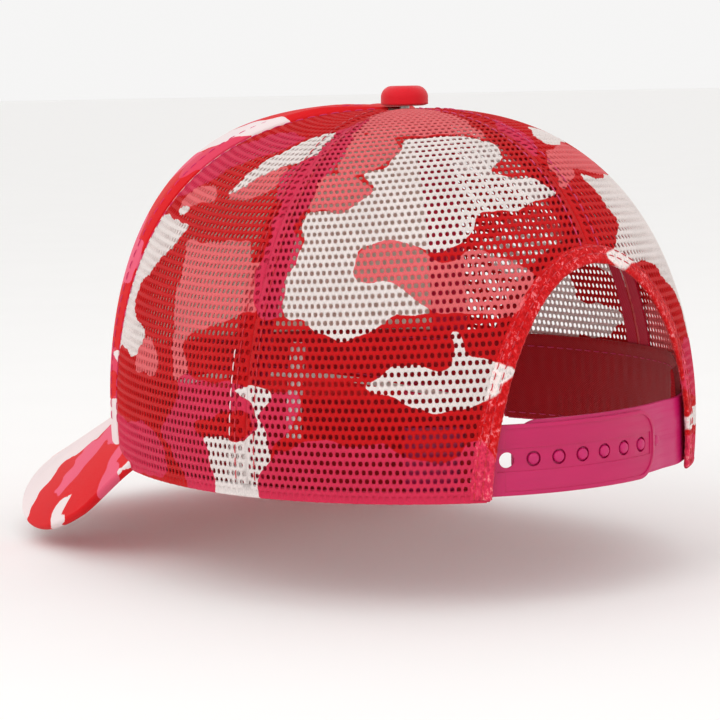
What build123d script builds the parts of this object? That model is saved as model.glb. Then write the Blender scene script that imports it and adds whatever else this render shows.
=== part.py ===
from build123d import *
from math import acos, asin, atan2, cos, degrees, hypot, radians, sin, sqrt
import os

# Trucker cap with mesh sides and a plastic snap strap, in millimetres.
# The origin is the centre of the head opening, on the plane of the crown's lower edge.
# The visor points along -Y, +X is the wearer's left and +Z is up.
# An azimuth is an angle about Z from the front: 0 is the visor, 90 the wearer's left, 180 the back.

# Crown, outer surface of the mesh
HALF_WIDTH = 86.0  # half the width of the lower edge
HALF_FRONT = 104.0  # from the axis to the forehead
HALF_REAR = 92.0  # from the axis to the back of the head
CROWN_HEIGHT = 108.0  # lower edge to the top under the button
SIDE_ROUNDNESS = 2.25  # superellipse exponent of the outline seen from the front
FRONT_ROUNDNESS = 3.2  # the stiff front stands up straighter
REAR_ROUNDNESS = 2.6
TUCK = 1.2  # how far the lower edge pulls in
TUCK_HEIGHT = 30.0
TOP_RADIUS = 5.0  # the panels stop here, under the button

# Seams between the five panels
FRONT_SEAM = 50.0
SIDE_SEAM = 106.0
BACK_SEAM = 180.0

# Cloth
MESH = 1.0
FRONT_CLOTH = 0.6
FOAM_OUT = 1.0  # the foam stands this proud of the mesh
TAPE = 0.5
TAPE_HALF_WIDTH = 6.5
LAYER_GAP = 0.05
TAPE_TOP_RADIUS = 8.0  # the tapes stop here, short of the button's back
BAND_THICKNESS = 1.8
BAND_HEIGHT = 30.0
BAND_INSET = 1.7  # the band clears the mesh and its tapes
BAND_INSET_AT_STRAP = 4.5  # and steps in past the strap's sewn tabs
BAND_RAMP_START = 119.0  # azimuths between which it steps in
BAND_RAMP_END = 137.0
LABEL = 0.35  # thickness of the care label
LABEL_START = 115.0  # azimuths of its two edges
LABEL_END = 118.5
LABEL_LOW = 17.0
LABEL_HIGH = 45.0

# Arch above the snap strap
ARCH_HALF_WIDTH = 40.0
ARCH_HEIGHT = 64.5
FACING_WIDTH = 7.0
FACING_START = 140.0  # azimuth where the facing meets the lower edge

# Snap strap
STRAP_INSET = 3.0  # its outer face inside the crown's outline
STRAP_THICKNESS = 1.3
STRAP_LOW = 1.0
STRAP_WIDTH = 20.0
STRAP_GAP = 0.3  # between the two halves
PEG_STRAP_RISE = 0.8  # the inner half stands this much higher
HINGE_X = 37.0  # where each half starts to bend
TAB_END_X = 57.0
HINGE_CLEARANCE = 0.3
SNAP_PITCH = 8.0
SNAP_COUNT = 7
FIRST_HOLE = 3.5  # from the hinge, along the strap
HOLE_RADIUS = 2.2
PEG_RADIUS = 1.65
PEG_HEIGHT = 1.5
PEG_SINK = 0.4  # the peg's foot runs this far into the strap
PEG_ROUNDING = 1.0
TIP_BEYOND_PEG = 5.3
PEG_STRAP_RAMP = 12.0  # length over which the inner half passes behind the outer one
TIP_BEYOND_HOLE = 6.5
TIP_RADIUS = 8.0
RIM_WIDTH = 1.1
RIM_HEIGHT = 0.25
CHANNEL_HEIGHT = 6.6
CHANNEL_DEPTH = 0.45
CHANNEL_START = 0.6  # from the hinge, along the strap

# Visor
VISOR_RADIUS = 91.0  # arch of its top face
VISOR_RISE = 16.5  # top face above the origin at the middle of the forehead
VISOR_HALF_WIDTH = 81.0
VISOR_CORNER_Y = -40.0
VISOR_CORNER_RADIUS = 5.0
VISOR_WIDEST_Y = -68.0
VISOR_TIP_Y = -152.0
VISOR_SQUARENESS = 2.3
VISOR_CLOTH = 0.6
VISOR_BOARD = 2.2
VISOR_EDGE = 0.8  # cloth turned round the board's edge
VISOR_TUCKED = 3.6  # the visor runs this far under the crown's wall

# Button
BUTTON_RADIUS = 7.3
BUTTON_HEIGHT = 5.8
BUTTON_CLOTH = 0.5
BUTTON_SEAT = 1.1  # above the mesh's top
BUTTON_ROUNDING = 0.62  # of its height
SHELL_WALL = 1.3  # the metal shell inside the cloth, hollow below
SHELL_ROOF = 2.1
STEM_RADIUS = 1.5
BACK_RADIUS = 6.0
BACK_THICKNESS = 0.8
BACK_GAP = 0.2  # between the mesh and the button's back
BACK_ROUNDING = 0.3


# ---- the crown's surface ----


def reach(azimuth):
    """Plan radius of the lower edge."""
    across, along = sin(radians(azimuth)), cos(radians(azimuth))
    return 1 / hypot(across / HALF_WIDTH, along / (HALF_FRONT if along > 0 else HALF_REAR))


def roundness(azimuth):
    """Superellipse exponent of the meridian at an azimuth."""
    along = cos(radians(azimuth))
    end = FRONT_ROUNDNESS if along > 0 else REAR_ROUNDNESS
    return SIDE_ROUNDNESS + (end - SIDE_ROUNDNESS) * along**2


def turn_at_height(azimuth, height):
    """The meridian's turning angle, 0 at the lower edge, at a height."""
    return asin((height / CROWN_HEIGHT) ** (roundness(azimuth) / 2))


def turn_at_radius(azimuth, radius):
    """The same at a distance from the axis."""
    return acos((radius / reach(azimuth)) ** (roundness(azimuth) / 2))


def bare_point(azimuth, turn):
    """(distance from the axis, height) on the mesh's outer surface."""
    power = 2 / roundness(azimuth)
    height = CROWN_HEIGHT * sin(turn) ** power
    tuck = TUCK * max(0, 1 - height / TUCK_HEIGHT) ** 2
    return reach(azimuth) * cos(turn) ** power - tuck, height


def wall_point(azimuth, turn, outset):
    """The same, moved outwards along the surface's normal."""
    step = 0.002
    low, high = bare_point(azimuth, max(turn - step, 0)), bare_point(azimuth, turn + step)
    radial, up = high[0] - low[0], high[1] - low[1]
    length = hypot(radial, up)
    radius, height = bare_point(azimuth, turn)
    if turn == 0:
        return radius + outset, height
    return radius + outset * up / length, height - outset * radial / length


def meridian_plane(azimuth):
    """A vertical plane through the axis: local X points outwards and local Y up."""
    outwards = Vector(sin(radians(azimuth)), -cos(radians(azimuth)), 0)
    return Plane(origin=(0, 0, 0), x_dir=outwards, z_dir=outwards.cross(Vector(0, 0, 1)))


def wall_section(azimuth, low, high, outer, inner, steps=9):
    """The cut through a layer of the crown, between two turns and two outsets."""
    power = 2 / roundness(azimuth)
    ends = low**power, high**power
    turns = [(ends[0] + (ends[1] - ends[0]) * k / steps) ** (1 / power) for k in range(steps + 1)]
    outside = [wall_point(azimuth, turn, outer(azimuth, turn)) for turn in turns]
    inside = [wall_point(azimuth, turn, inner(azimuth, turn)) for turn in turns]
    with BuildSketch(meridian_plane(azimuth)) as section:
        with BuildLine():
            Spline(*outside)
            Line(outside[-1], inside[-1])
            Spline(*inside)
            Line(outside[0], inside[0])
        make_face()
    return section.sketch


def level(outset):
    """An outset that is the same everywhere."""
    return lambda azimuth, turn: outset


def fading(outset):
    """An outset that fades to a fifth of itself under the button."""

    def value(azimuth, turn):
        near_top = min(1, max(0, (bare_point(azimuth, turn)[0] - TOP_RADIUS) / 20))
        return outset * (0.2 + 0.8 * near_top)

    return value


def azimuths(start, end, step=12):
    """Even azimuths about a step apart, with both ends."""
    count = max(2, round(abs(end - start) / step))
    return [start + (end - start) * k / count for k in range(count + 1)]


def dome_sections(start, end, outer, inner, top=TOP_RADIUS):
    """Sections of a layer from the lower edge to the top."""
    return [wall_section(a, 0, turn_at_radius(a, top), outer, inner) for a in azimuths(start, end)]


def strip_sections(start, end, low, high, outer, inner, step=12):
    """Sections of a layer between two heights."""
    return [
        wall_section(a, turn_at_height(a, low), turn_at_height(a, high), outer, inner, 4)
        for a in azimuths(start, end, step)
    ]


# ---- shapes that cut the crown ----


def ellipse_prism(half_width, height):
    """The arch's opening, run through the back of the crown."""
    with BuildPart() as prism:
        with BuildSketch(Plane.XZ):
            Ellipse(half_width, height)
        extrude(amount=-2 * HALF_REAR)
    return prism.part


arch = ellipse_prism(ARCH_HALF_WIDTH, ARCH_HEIGHT)
arch_with_facing = ellipse_prism(ARCH_HALF_WIDTH + FACING_WIDTH, ARCH_HEIGHT + FACING_WIDTH)

corner_x = HALF_WIDTH * sqrt(1 - (VISOR_CORNER_Y / HALF_FRONT) ** 2)
corner_drop = VISOR_RADIUS - sqrt(VISOR_RADIUS**2 - corner_x**2)
# The visor's slope brings its top face down to the lower edge of the crown at its corners.
visor_slope = (corner_drop - VISOR_RISE) / (HALF_FRONT + VISOR_CORNER_Y)
visor_run = Vector(0, -1, -visor_slope)
visor_centre_z = VISOR_RISE + visor_slope * HALF_FRONT - VISOR_RADIUS


def visor_arc(radius, thickness):
    """The visor's arched cross-section, in the plane of the crown's axis, to be run forwards."""
    with BuildSketch(Plane.XZ) as section:
        with Locations((0, visor_centre_z)):
            Circle(radius)
            if thickness:
                Circle(radius - thickness, mode=Mode.SUBTRACT)
    return section.sketch


with BuildPart() as under_visor:
    extrude(visor_arc(VISOR_RADIUS + LAYER_GAP, 0), amount=2 * HALF_FRONT, dir=visor_run)
    with Locations((0, VISOR_CORNER_Y, 0)):
        Box(
            4 * HALF_WIDTH,
            2 * HALF_FRONT,
            4 * HALF_WIDTH,
            align=(Align.CENTER, Align.MAX, Align.CENTER),
            mode=Mode.INTERSECT,
        )


def finish(builder, label):
    """Names a finished piece and writes it."""
    builder.part.label = label
    export_step(builder.part, f"parts/{label}.step")
    volume = sum(solid.volume for solid in builder.part.solids())
    print(f"{label}: {len(builder.part.solids())} solid, {volume:.0f} mm3")


os.makedirs("parts", exist_ok=True)
SIDES = (("left", 1), ("right", -1))

# ---- front panel: smooth cloth laminated to foam ----

foam_face = fading(FOAM_OUT)


def cloth_face(azimuth, turn):
    """Outer face of the cloth that covers the foam."""
    return foam_face(azimuth, turn) + FRONT_CLOTH


with BuildPart() as front_panel_cloth:
    for section in dome_sections(-FRONT_SEAM, FRONT_SEAM, cloth_face, foam_face):
        add(section)
    loft()
    add(under_visor.part, mode=Mode.SUBTRACT)
finish(front_panel_cloth, "front_panel_cloth")

with BuildPart() as front_panel_foam:
    for section in dome_sections(-FRONT_SEAM, FRONT_SEAM, foam_face, level(-MESH)):
        add(section)
    loft()
    add(under_visor.part, mode=Mode.SUBTRACT)
finish(front_panel_foam, "front_panel_foam")

# ---- mesh panels ----

for name, side in SIDES:
    with BuildPart() as side_panel:
        for section in dome_sections(side * FRONT_SEAM, side * SIDE_SEAM, level(0), level(-MESH)):
            add(section)
        loft()
        add(under_visor.part, mode=Mode.SUBTRACT)
    finish(side_panel, f"side_panel_{name}")

    with BuildPart() as rear_panel:
        for section in dome_sections(side * SIDE_SEAM, side * BACK_SEAM, level(0), level(-MESH)):
            add(section)
        loft()
        add(arch, mode=Mode.SUBTRACT)
    finish(rear_panel, f"rear_panel_{name}")

# ---- tapes over the seams, inside ----

tape_out, tape_in = level(-MESH - LAYER_GAP), level(-MESH - LAYER_GAP - TAPE)


def seam_slab(azimuth):
    """A slab as wide as a tape, standing on a seam."""
    with BuildPart() as slab:
        with BuildSketch(Plane.XY):
            with Locations(Location((0, 0, 0), (0, 0, azimuth - 90))):
                Rectangle(2 * HALF_FRONT, 2 * TAPE_HALF_WIDTH, align=(Align.MIN, Align.CENTER))
        extrude(amount=2 * CROWN_HEIGHT)
    return slab.part


SEAMS = (
    ("front_left", FRONT_SEAM),
    ("side_left", SIDE_SEAM),
    ("back", BACK_SEAM),
    ("side_right", -SIDE_SEAM),
    ("front_right", -FRONT_SEAM),
)
TAPE_SPREAD = 27.5  # under half the angle between two seams, so that tapes don't meet
for name, seam in SEAMS:
    with BuildPart() as seam_tape:
        for section in dome_sections(
            seam - TAPE_SPREAD, seam + TAPE_SPREAD, tape_out, tape_in, top=TAPE_TOP_RADIUS
        ):
            add(section)
        loft()
        add(seam_slab(seam), mode=Mode.INTERSECT)
        add(arch_with_facing if name == "back" else under_visor.part, mode=Mode.SUBTRACT)
    finish(seam_tape, f"seam_tape_{name}")

# ---- the mesh's edge turned in round the arch ----

for name, side in SIDES:
    with BuildPart() as arch_facing:
        for section in strip_sections(
            side * FACING_START, side * BACK_SEAM, 0, ARCH_HEIGHT + 2 * FACING_WIDTH, tape_out, tape_in, 8
        ):
            add(section)
        loft()
        add(arch_with_facing, mode=Mode.INTERSECT)
        add(arch, mode=Mode.SUBTRACT)
    finish(arch_facing, f"arch_facing_{name}")

# ---- sweatband ----

BAND_END = 180 - degrees(asin((ARCH_HALF_WIDTH + 1) / HALF_WIDTH))


def band_outset(azimuth, turn):
    """The band steps inwards to pass the strap's sewn tabs."""
    ramp = (abs(azimuth) - BAND_RAMP_START) / (BAND_RAMP_END - BAND_RAMP_START)
    ramp = min(1, max(0, ramp))
    smooth = ramp * ramp * (3 - 2 * ramp)
    return -BAND_INSET - (BAND_INSET_AT_STRAP - BAND_INSET) * smooth


with BuildPart() as sweatband:
    for section in strip_sections(
        -BAND_END,
        BAND_END,
        0,
        BAND_HEIGHT,
        band_outset,
        lambda azimuth, turn: band_outset(azimuth, turn) - BAND_THICKNESS,
        8,
    ):
        add(section)
    loft()
    # at the forehead the band rides up over the visor, so the same strip is cut by its top face
    add(under_visor.part, mode=Mode.SUBTRACT)
finish(sweatband, "sweatband")

# ---- care label, under the sweatband's upper edge ----

with BuildPart() as care_label:
    for section in strip_sections(
        LABEL_START,
        LABEL_END,
        LABEL_LOW,
        LABEL_HIGH,
        level(-MESH - 2 * LAYER_GAP),
        level(-MESH - 2 * LAYER_GAP - LABEL),
        3,
    ):
        add(section)
    loft()
finish(care_label, "care_label")

# ---- snap strap ----


def strap_point(x, inset):
    """A point on the strap's plan curve, at the back of the crown."""
    a, b = HALF_WIDTH - inset, HALF_REAR - inset
    return x, b * sqrt(1 - (x / a) ** 2)


def strap_x(distance):
    """X at a distance along the strap's middle line from the left hinge."""
    inset = STRAP_INSET + STRAP_THICKNESS / 2
    x, step = HINGE_X, 0.1
    for _ in range(round(distance / step)):
        ahead = strap_point(x - step, inset)
        here = strap_point(x, inset)
        x -= step * step / hypot(ahead[0] - here[0], ahead[1] - here[1])
    return x


def strap_azimuth(x, inset):
    """Azimuth of the plan curve's normal at x."""
    y = strap_point(x, inset)[1]
    a, b = HALF_WIDTH - inset, HALF_REAR - inset
    return degrees(atan2(x / a**2, -y / b**2))


def outer_inset(x):
    """The outer half of the strap keeps one inset."""
    return STRAP_INSET


def inner_inset(x):
    """The inner half starts level with the outer one and passes behind its tip."""
    ramp = min(1, max(0, (x + HINGE_X) / PEG_STRAP_RAMP))
    smooth = ramp * ramp * (3 - 2 * ramp)
    return STRAP_INSET + (STRAP_THICKNESS + STRAP_GAP) * smooth


def plate(start_x, end_x, low, width, inset, near=0.0, far=STRAP_THICKNESS, round_start=False):
    """A curved upright plate between two X places, from near to far behind its outer face."""
    count = 12
    xs = [start_x + (end_x - start_x) * k / count for k in range(count + 1)]
    front = [strap_point(x, inset(x) + near) for x in xs]
    back = [strap_point(x, inset(x) + far) for x in xs]
    with BuildPart() as slab:
        with BuildSketch(Plane.XY.offset(low)):
            with BuildLine():
                Spline(*front)
                Line(front[-1], back[-1])
                Spline(*back)
                if round_start:
                    middle = (Vector(*front[0]) + Vector(*back[0])) / 2
                    along = (Vector(*front[0]) - Vector(*front[1])).normalized()
                    ThreePointArc(front[0], middle + along * (far - near) / 2, back[0])
                else:
                    Line(front[0], back[0])
            make_face()
        extrude(amount=width)
    return slab.part


def tip_prism(root_x, tip_x, low, width, radius):
    """The strap's outline seen from behind: square at its root, with both corners of its tip rounded."""
    side = 1 if root_x > tip_x else -1
    with BuildPart() as prism:
        with BuildSketch(Plane.XZ) as outline:
            with Locations((tip_x, low)):
                Rectangle(
                    2 * abs(root_x - tip_x),
                    width,
                    align=(Align.MIN if side > 0 else Align.MAX, Align.MIN),
                )
            fillet(outline.vertices().group_by(Axis.X)[0 if side > 0 else -1], radius)
        extrude(amount=-2 * HALF_REAR)
    return prism.part


def snap_plane(distance, inset):
    """A plane facing outwards on the strap, at a hole or a peg."""
    x = strap_x(distance)
    azimuth = strap_azimuth(x, inset(x))
    point = strap_point(x, inset(x))
    outwards = Vector(sin(radians(azimuth)), -cos(radians(azimuth)), 0)
    return Plane(
        origin=(point[0], point[1], STRAP_LOW + STRAP_WIDTH / 2),
        x_dir=(0, 0, 1),
        z_dir=outwards,
    )


hole_places = [FIRST_HOLE + SNAP_PITCH * k for k in range(SNAP_COUNT)]
peg_places = [FIRST_HOLE + SNAP_PITCH * (k + 1) for k in range(SNAP_COUNT)]
hole_tip_x = strap_x(hole_places[-1] + TIP_BEYOND_HOLE)
peg_tip_x = strap_x(peg_places[0] - TIP_BEYOND_PEG)
strap_middle = STRAP_LOW + STRAP_WIDTH / 2

with BuildPart() as strap_recess:
    add(
        plate(
            HINGE_X - 1,
            hole_tip_x + RIM_WIDTH,
            STRAP_LOW + RIM_WIDTH,
            STRAP_WIDTH - 2 * RIM_WIDTH,
            outer_inset,
            near=-1,
            far=RIM_HEIGHT,
        )
    )
    add(
        tip_prism(
            HINGE_X,
            hole_tip_x + RIM_WIDTH,
            STRAP_LOW + RIM_WIDTH,
            STRAP_WIDTH - 2 * RIM_WIDTH,
            TIP_RADIUS - RIM_WIDTH,
        ),
        mode=Mode.INTERSECT,
    )

with BuildPart() as hole_strap:
    add(plate(HINGE_X, hole_tip_x, STRAP_LOW, STRAP_WIDTH, outer_inset, round_start=True))
    add(
        tip_prism(HINGE_X, hole_tip_x, STRAP_LOW, STRAP_WIDTH, TIP_RADIUS),
        mode=Mode.INTERSECT,
    )
    add(strap_recess.part, mode=Mode.SUBTRACT)
    add(
        plate(
            strap_x(CHANNEL_START),
            hole_tip_x + 2 * RIM_WIDTH,
            strap_middle - CHANNEL_HEIGHT / 2,
            CHANNEL_HEIGHT,
            outer_inset,
            near=-1,
            far=CHANNEL_DEPTH,
        ),
        mode=Mode.SUBTRACT,
    )
    with Locations(*[snap_plane(place, outer_inset) for place in hole_places]):
        Cylinder(HOLE_RADIUS, 4 * STRAP_THICKNESS, mode=Mode.SUBTRACT)
finish(hole_strap, "hole_strap")

with BuildPart() as peg:
    Cylinder(PEG_RADIUS, PEG_HEIGHT + PEG_SINK, align=(Align.CENTER, Align.CENTER, Align.MIN))
    fillet(peg.edges().group_by(Axis.Z)[-1], PEG_ROUNDING)

with BuildPart() as peg_strap:
    add(
        plate(
            -HINGE_X,
            peg_tip_x,
            STRAP_LOW + PEG_STRAP_RISE,
            STRAP_WIDTH,
            inner_inset,
            round_start=True,
        )
    )
    add(
        tip_prism(-HINGE_X, peg_tip_x, STRAP_LOW + PEG_STRAP_RISE, STRAP_WIDTH, TIP_RADIUS),
        mode=Mode.INTERSECT,
    )
    with Locations(*[snap_plane(place, inner_inset).offset(-PEG_SINK) for place in peg_places]):
        add(peg.part)
finish(peg_strap, "peg_strap")

TAB_START = HINGE_X + STRAP_THICKNESS / 2 + HINGE_CLEARANCE
with BuildPart() as hole_strap_tab:
    add(plate(TAB_START, TAB_END_X, STRAP_LOW, STRAP_WIDTH, outer_inset))
finish(hole_strap_tab, "hole_strap_tab")

with BuildPart() as peg_strap_tab:
    low = STRAP_LOW + PEG_STRAP_RISE
    add(plate(-TAB_START, -TAB_END_X, low, STRAP_WIDTH, outer_inset))
finish(peg_strap_tab, "peg_strap_tab")

# ---- visor: a board between two cloths ----


def visor_outline(margin):
    """The visor's plan, drawn in by a margin, less the head's side of the crown wall."""
    width, depth = VISOR_HALF_WIDTH - margin, VISOR_WIDEST_Y - VISOR_TIP_Y - margin
    power = 2 / VISOR_SQUARENESS
    edge = []
    for degree in range(0, 91, 15):
        across, forward = sin(radians(degree)) ** power, max(0, cos(radians(degree))) ** power
        edge.append((width * across, VISOR_WIDEST_Y - depth * forward))
    edge.append((corner_x - margin, VISOR_CORNER_Y - margin))
    rim = [(-x, y) for x, y in reversed(edge[1:])] + edge
    with BuildSketch(Plane.XY.offset(-CROWN_HEIGHT)) as outline:
        with BuildLine():
            Spline(*rim)
            Line(rim[-1], rim[0])
        make_face()
        fillet(outline.vertices(), VISOR_CORNER_RADIUS)
        Ellipse(HALF_WIDTH - VISOR_TUCKED, HALF_FRONT - VISOR_TUCKED, mode=Mode.SUBTRACT)
    return outline.sketch


def visor_prism(margin):
    """The visor's outline as an upright prism."""
    with BuildPart() as prism:
        extrude(visor_outline(margin), amount=2 * CROWN_HEIGHT)
    return prism.part


full_prism = visor_prism(0)
board_prism = visor_prism(VISOR_EDGE)


def visor_layer(radius, thickness, prism):
    """One arched layer of the visor."""
    with BuildPart() as layer:
        extrude(visor_arc(radius, thickness), amount=2 * HALF_FRONT, dir=visor_run)
        add(prism, mode=Mode.INTERSECT)
    return max(layer.part.solids(), key=lambda solid: solid.center().Z)


board_radius = VISOR_RADIUS - VISOR_CLOTH

with BuildPart() as visor_board:
    add(visor_layer(board_radius, VISOR_BOARD, board_prism))
finish(visor_board, "visor_board")

with BuildPart() as visor_top_cover:
    add(visor_layer(VISOR_RADIUS, VISOR_CLOTH, full_prism))
finish(visor_top_cover, "visor_top_cover")

with BuildPart() as visor_under_cover:
    add(visor_layer(board_radius - VISOR_BOARD, VISOR_CLOTH, full_prism))
finish(visor_under_cover, "visor_under_cover")

with BuildPart() as visor_edge_fold:
    add(visor_layer(board_radius, VISOR_BOARD, full_prism))
    add(visor_layer(board_radius, VISOR_BOARD, board_prism), mode=Mode.SUBTRACT)
finish(visor_edge_fold, "visor_edge_fold")

# ---- button ----

button_base = CROWN_HEIGHT + BUTTON_SEAT


def button_dome(radius, height):
    """A flat button with a well rounded rim."""
    with BuildPart() as dome:
        with BuildSketch(Plane.XY.offset(button_base)):
            Circle(radius)
        extrude(amount=height)
        fillet(dome.edges().group_by(Axis.Z)[-1], BUTTON_ROUNDING * height)
    return dome.part


with BuildPart() as button_shell:
    add(button_dome(BUTTON_RADIUS - BUTTON_CLOTH, BUTTON_HEIGHT - BUTTON_CLOTH))
    with BuildSketch(Plane.XY.offset(button_base)):
        Circle(BUTTON_RADIUS - BUTTON_CLOTH - SHELL_WALL)
        Circle(STEM_RADIUS, mode=Mode.SUBTRACT)
    extrude(amount=BUTTON_HEIGHT - BUTTON_CLOTH - SHELL_ROOF, mode=Mode.SUBTRACT)
finish(button_shell, "button_shell")

with BuildPart() as button_cover:
    add(button_dome(BUTTON_RADIUS, BUTTON_HEIGHT))
    add(button_dome(BUTTON_RADIUS - BUTTON_CLOTH, BUTTON_HEIGHT - BUTTON_CLOTH), mode=Mode.SUBTRACT)
finish(button_cover, "button_cover")

with BuildPart() as button_back:
    with BuildSketch(Plane.XY.offset(CROWN_HEIGHT - MESH - BACK_GAP - BACK_THICKNESS)):
        Circle(BACK_RADIUS)
    extrude(amount=BACK_THICKNESS)
    fillet(button_back.edges().group_by(Axis.Z)[0], BACK_ROUNDING)
    with BuildSketch(Plane.XY.offset(CROWN_HEIGHT - MESH - BACK_GAP)):
        Circle(STEM_RADIUS)
    extrude(amount=BUTTON_SEAT + MESH + BACK_GAP)
finish(button_back, "button_back")

print(f"visor slope {visor_slope:.3f}, hinge y {strap_point(HINGE_X, STRAP_INSET)[1]:.2f}")
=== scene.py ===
import math

import bmesh
import bpy
import numpy as np
from mathutils import Matrix, Vector, noise


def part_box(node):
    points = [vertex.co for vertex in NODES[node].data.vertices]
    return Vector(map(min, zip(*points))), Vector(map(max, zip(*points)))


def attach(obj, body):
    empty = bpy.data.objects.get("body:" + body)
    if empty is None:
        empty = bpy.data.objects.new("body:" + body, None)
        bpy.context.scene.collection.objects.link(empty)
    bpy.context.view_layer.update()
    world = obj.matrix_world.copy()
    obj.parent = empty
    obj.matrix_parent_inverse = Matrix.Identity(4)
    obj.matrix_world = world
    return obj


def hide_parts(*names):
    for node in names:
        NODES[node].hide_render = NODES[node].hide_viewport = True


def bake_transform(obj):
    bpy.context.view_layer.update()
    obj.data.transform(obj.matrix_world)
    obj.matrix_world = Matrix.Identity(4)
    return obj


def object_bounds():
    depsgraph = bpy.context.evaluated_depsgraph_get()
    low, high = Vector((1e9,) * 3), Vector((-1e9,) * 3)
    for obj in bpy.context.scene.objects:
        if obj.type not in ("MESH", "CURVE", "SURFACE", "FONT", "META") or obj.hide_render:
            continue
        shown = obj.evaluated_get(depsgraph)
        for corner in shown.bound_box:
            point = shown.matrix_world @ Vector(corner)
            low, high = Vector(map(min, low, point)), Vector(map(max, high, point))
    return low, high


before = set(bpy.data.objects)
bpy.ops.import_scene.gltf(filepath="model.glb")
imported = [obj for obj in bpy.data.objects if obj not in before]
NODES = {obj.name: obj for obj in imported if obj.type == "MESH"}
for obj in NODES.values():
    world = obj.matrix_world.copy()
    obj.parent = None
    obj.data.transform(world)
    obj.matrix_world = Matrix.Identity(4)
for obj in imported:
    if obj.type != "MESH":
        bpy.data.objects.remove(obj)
CAD_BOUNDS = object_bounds()
SEED = 7
RNG = np.random.default_rng(SEED)
# noise_vector draws on Blender's own generator, which differs on every run unless it is seeded.
noise.seed_set(SEED)

# ---------------------------------------------------------------- sizes, in metres

HALF_WIDTH, HALF_FRONT, HALF_REAR, CROWN_HEIGHT = 0.086, 0.104, 0.092, 0.108
SIDE_ROUNDNESS, FRONT_ROUNDNESS, REAR_ROUNDNESS = 2.25, 3.2, 2.6
TUCK, TUCK_HEIGHT, TOP_RADIUS = 0.0012, 0.030, 0.005
FRONT_SEAM, SIDE_SEAM, BACK_SEAM = 50.0, 106.0, 180.0
TAPE_SPREAD, TAPE_HALF_WIDTH = 27.5, 0.0064
ARCH_HALF_WIDTH, ARCH_HEIGHT = 0.040, 0.0645
HINGE_X, TAB_END_X = 0.037, 0.057
STRAP_INSET, STRAP_THICKNESS, STRAP_WIDTH, STRAP_GAP = 0.003, 0.0013, 0.020, 0.0003
VISOR_RADIUS, VISOR_RISE = 0.091, 0.0165
VISOR_HALF_WIDTH, VISOR_WIDEST_Y, VISOR_TIP_Y, VISOR_SQUARENESS = 0.081, -0.068, -0.152, 2.3
VISOR_CORNER_Y, VISOR_TUCKED, VISOR_CLOTH, VISOR_BOARD = -0.040, 0.0036, 0.0006, 0.0022
corner_x = HALF_WIDTH * math.sqrt(1 - (VISOR_CORNER_Y / HALF_FRONT) ** 2)
corner_drop = VISOR_RADIUS - math.sqrt(VISOR_RADIUS**2 - corner_x**2)
visor_slope = (corner_drop - VISOR_RISE) / (HALF_FRONT + VISOR_CORNER_Y)

# ---------------------------------------------------------------- colours


def linear(r, g, b):
    """A colour given in screen values, for the shader."""
    out = []
    for c in (r, g, b):
        c /= 255
        out.append(c / 12.92 if c <= 0.04045 else ((c + 0.055) / 1.055) ** 2.4)
    return (*out, 1.0)


RED, CORAL, ROSE, WHITE = 0, 1, 2, 3
THREAD = {
    RED: linear(212, 4, 12),
    CORAL: linear(240, 108, 112),
    ROSE: linear(226, 46, 84),
    WHITE: linear(248, 236, 232),
}
CLOTH = {
    RED: linear(220, 6, 18),
    CORAL: linear(236, 92, 122),
    ROSE: linear(226, 60, 92),
    WHITE: linear(240, 224, 224),
}

# ---------------------------------------------------------------- the crown's surface


def reach(az):
    s, c = np.sin(np.radians(az)), np.cos(np.radians(az))
    return 1 / np.hypot(s / HALF_WIDTH, c / np.where(c > 0, HALF_FRONT, HALF_REAR))


def roundness(az):
    c = np.cos(np.radians(az))
    return SIDE_ROUNDNESS + (np.where(c > 0, FRONT_ROUNDNESS, REAR_ROUNDNESS) - SIDE_ROUNDNESS) * c * c


def meridian(az, turn):
    power = 2 / roundness(az)
    z = CROWN_HEIGHT * np.clip(np.sin(turn), 0, 1) ** power
    tuck = TUCK * np.maximum(0, 1 - z / TUCK_HEIGHT) ** 2
    return reach(az) * np.clip(np.cos(turn), 0, 1) ** power - tuck, z


AZ_GRID = np.arange(0, 361.0)
F_GRID = np.linspace(0, 1, 401)
_turns = np.linspace(0, math.pi / 2, 1201)
_r, _z = meridian(AZ_GRID[:, None], _turns[None, :])
_s = np.concatenate([np.zeros((361, 1)), np.cumsum(np.hypot(np.diff(_r), np.diff(_z)), axis=1)], axis=1)
LENGTH = _s[:, -1]
TURN_OF_F = np.array([np.interp(F_GRID, s / s[-1], _turns) for s in _s])


def turn_at(az, f):
    """The meridian's turning angle at a fraction of its length."""
    a = np.mod(np.asarray(az, float), 360)
    i = np.minimum(a.astype(int), 359)
    x = a - i
    g = np.clip(np.asarray(f, float), 0, 1) * 400
    j = np.minimum(g.astype(int), 399)
    y = g - j
    t = TURN_OF_F
    return (t[i, j] * (1 - x) + t[i + 1, j] * x) * (1 - y) + (t[i, j + 1] * (1 - x) + t[i + 1, j + 1] * x) * y


def crown(az, f, out=0.0):
    """Points on the crown, moved outwards along its normal."""
    az, f = np.broadcast_arrays(np.asarray(az, float), np.asarray(f, float))
    turn = turn_at(az, f)
    r, z = meridian(az, turn)
    r0, z0 = meridian(az, np.maximum(turn - 0.002, 0))
    r1, z1 = meridian(az, np.minimum(turn + 0.002, math.pi / 2))
    dr, dz = r1 - r0, z1 - z0
    n = np.hypot(dr, dz)
    r = r + out * dz / n
    z = z - out * dr / n
    return np.stack([r * np.sin(np.radians(az)), -r * np.cos(np.radians(az)), z], -1)


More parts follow.
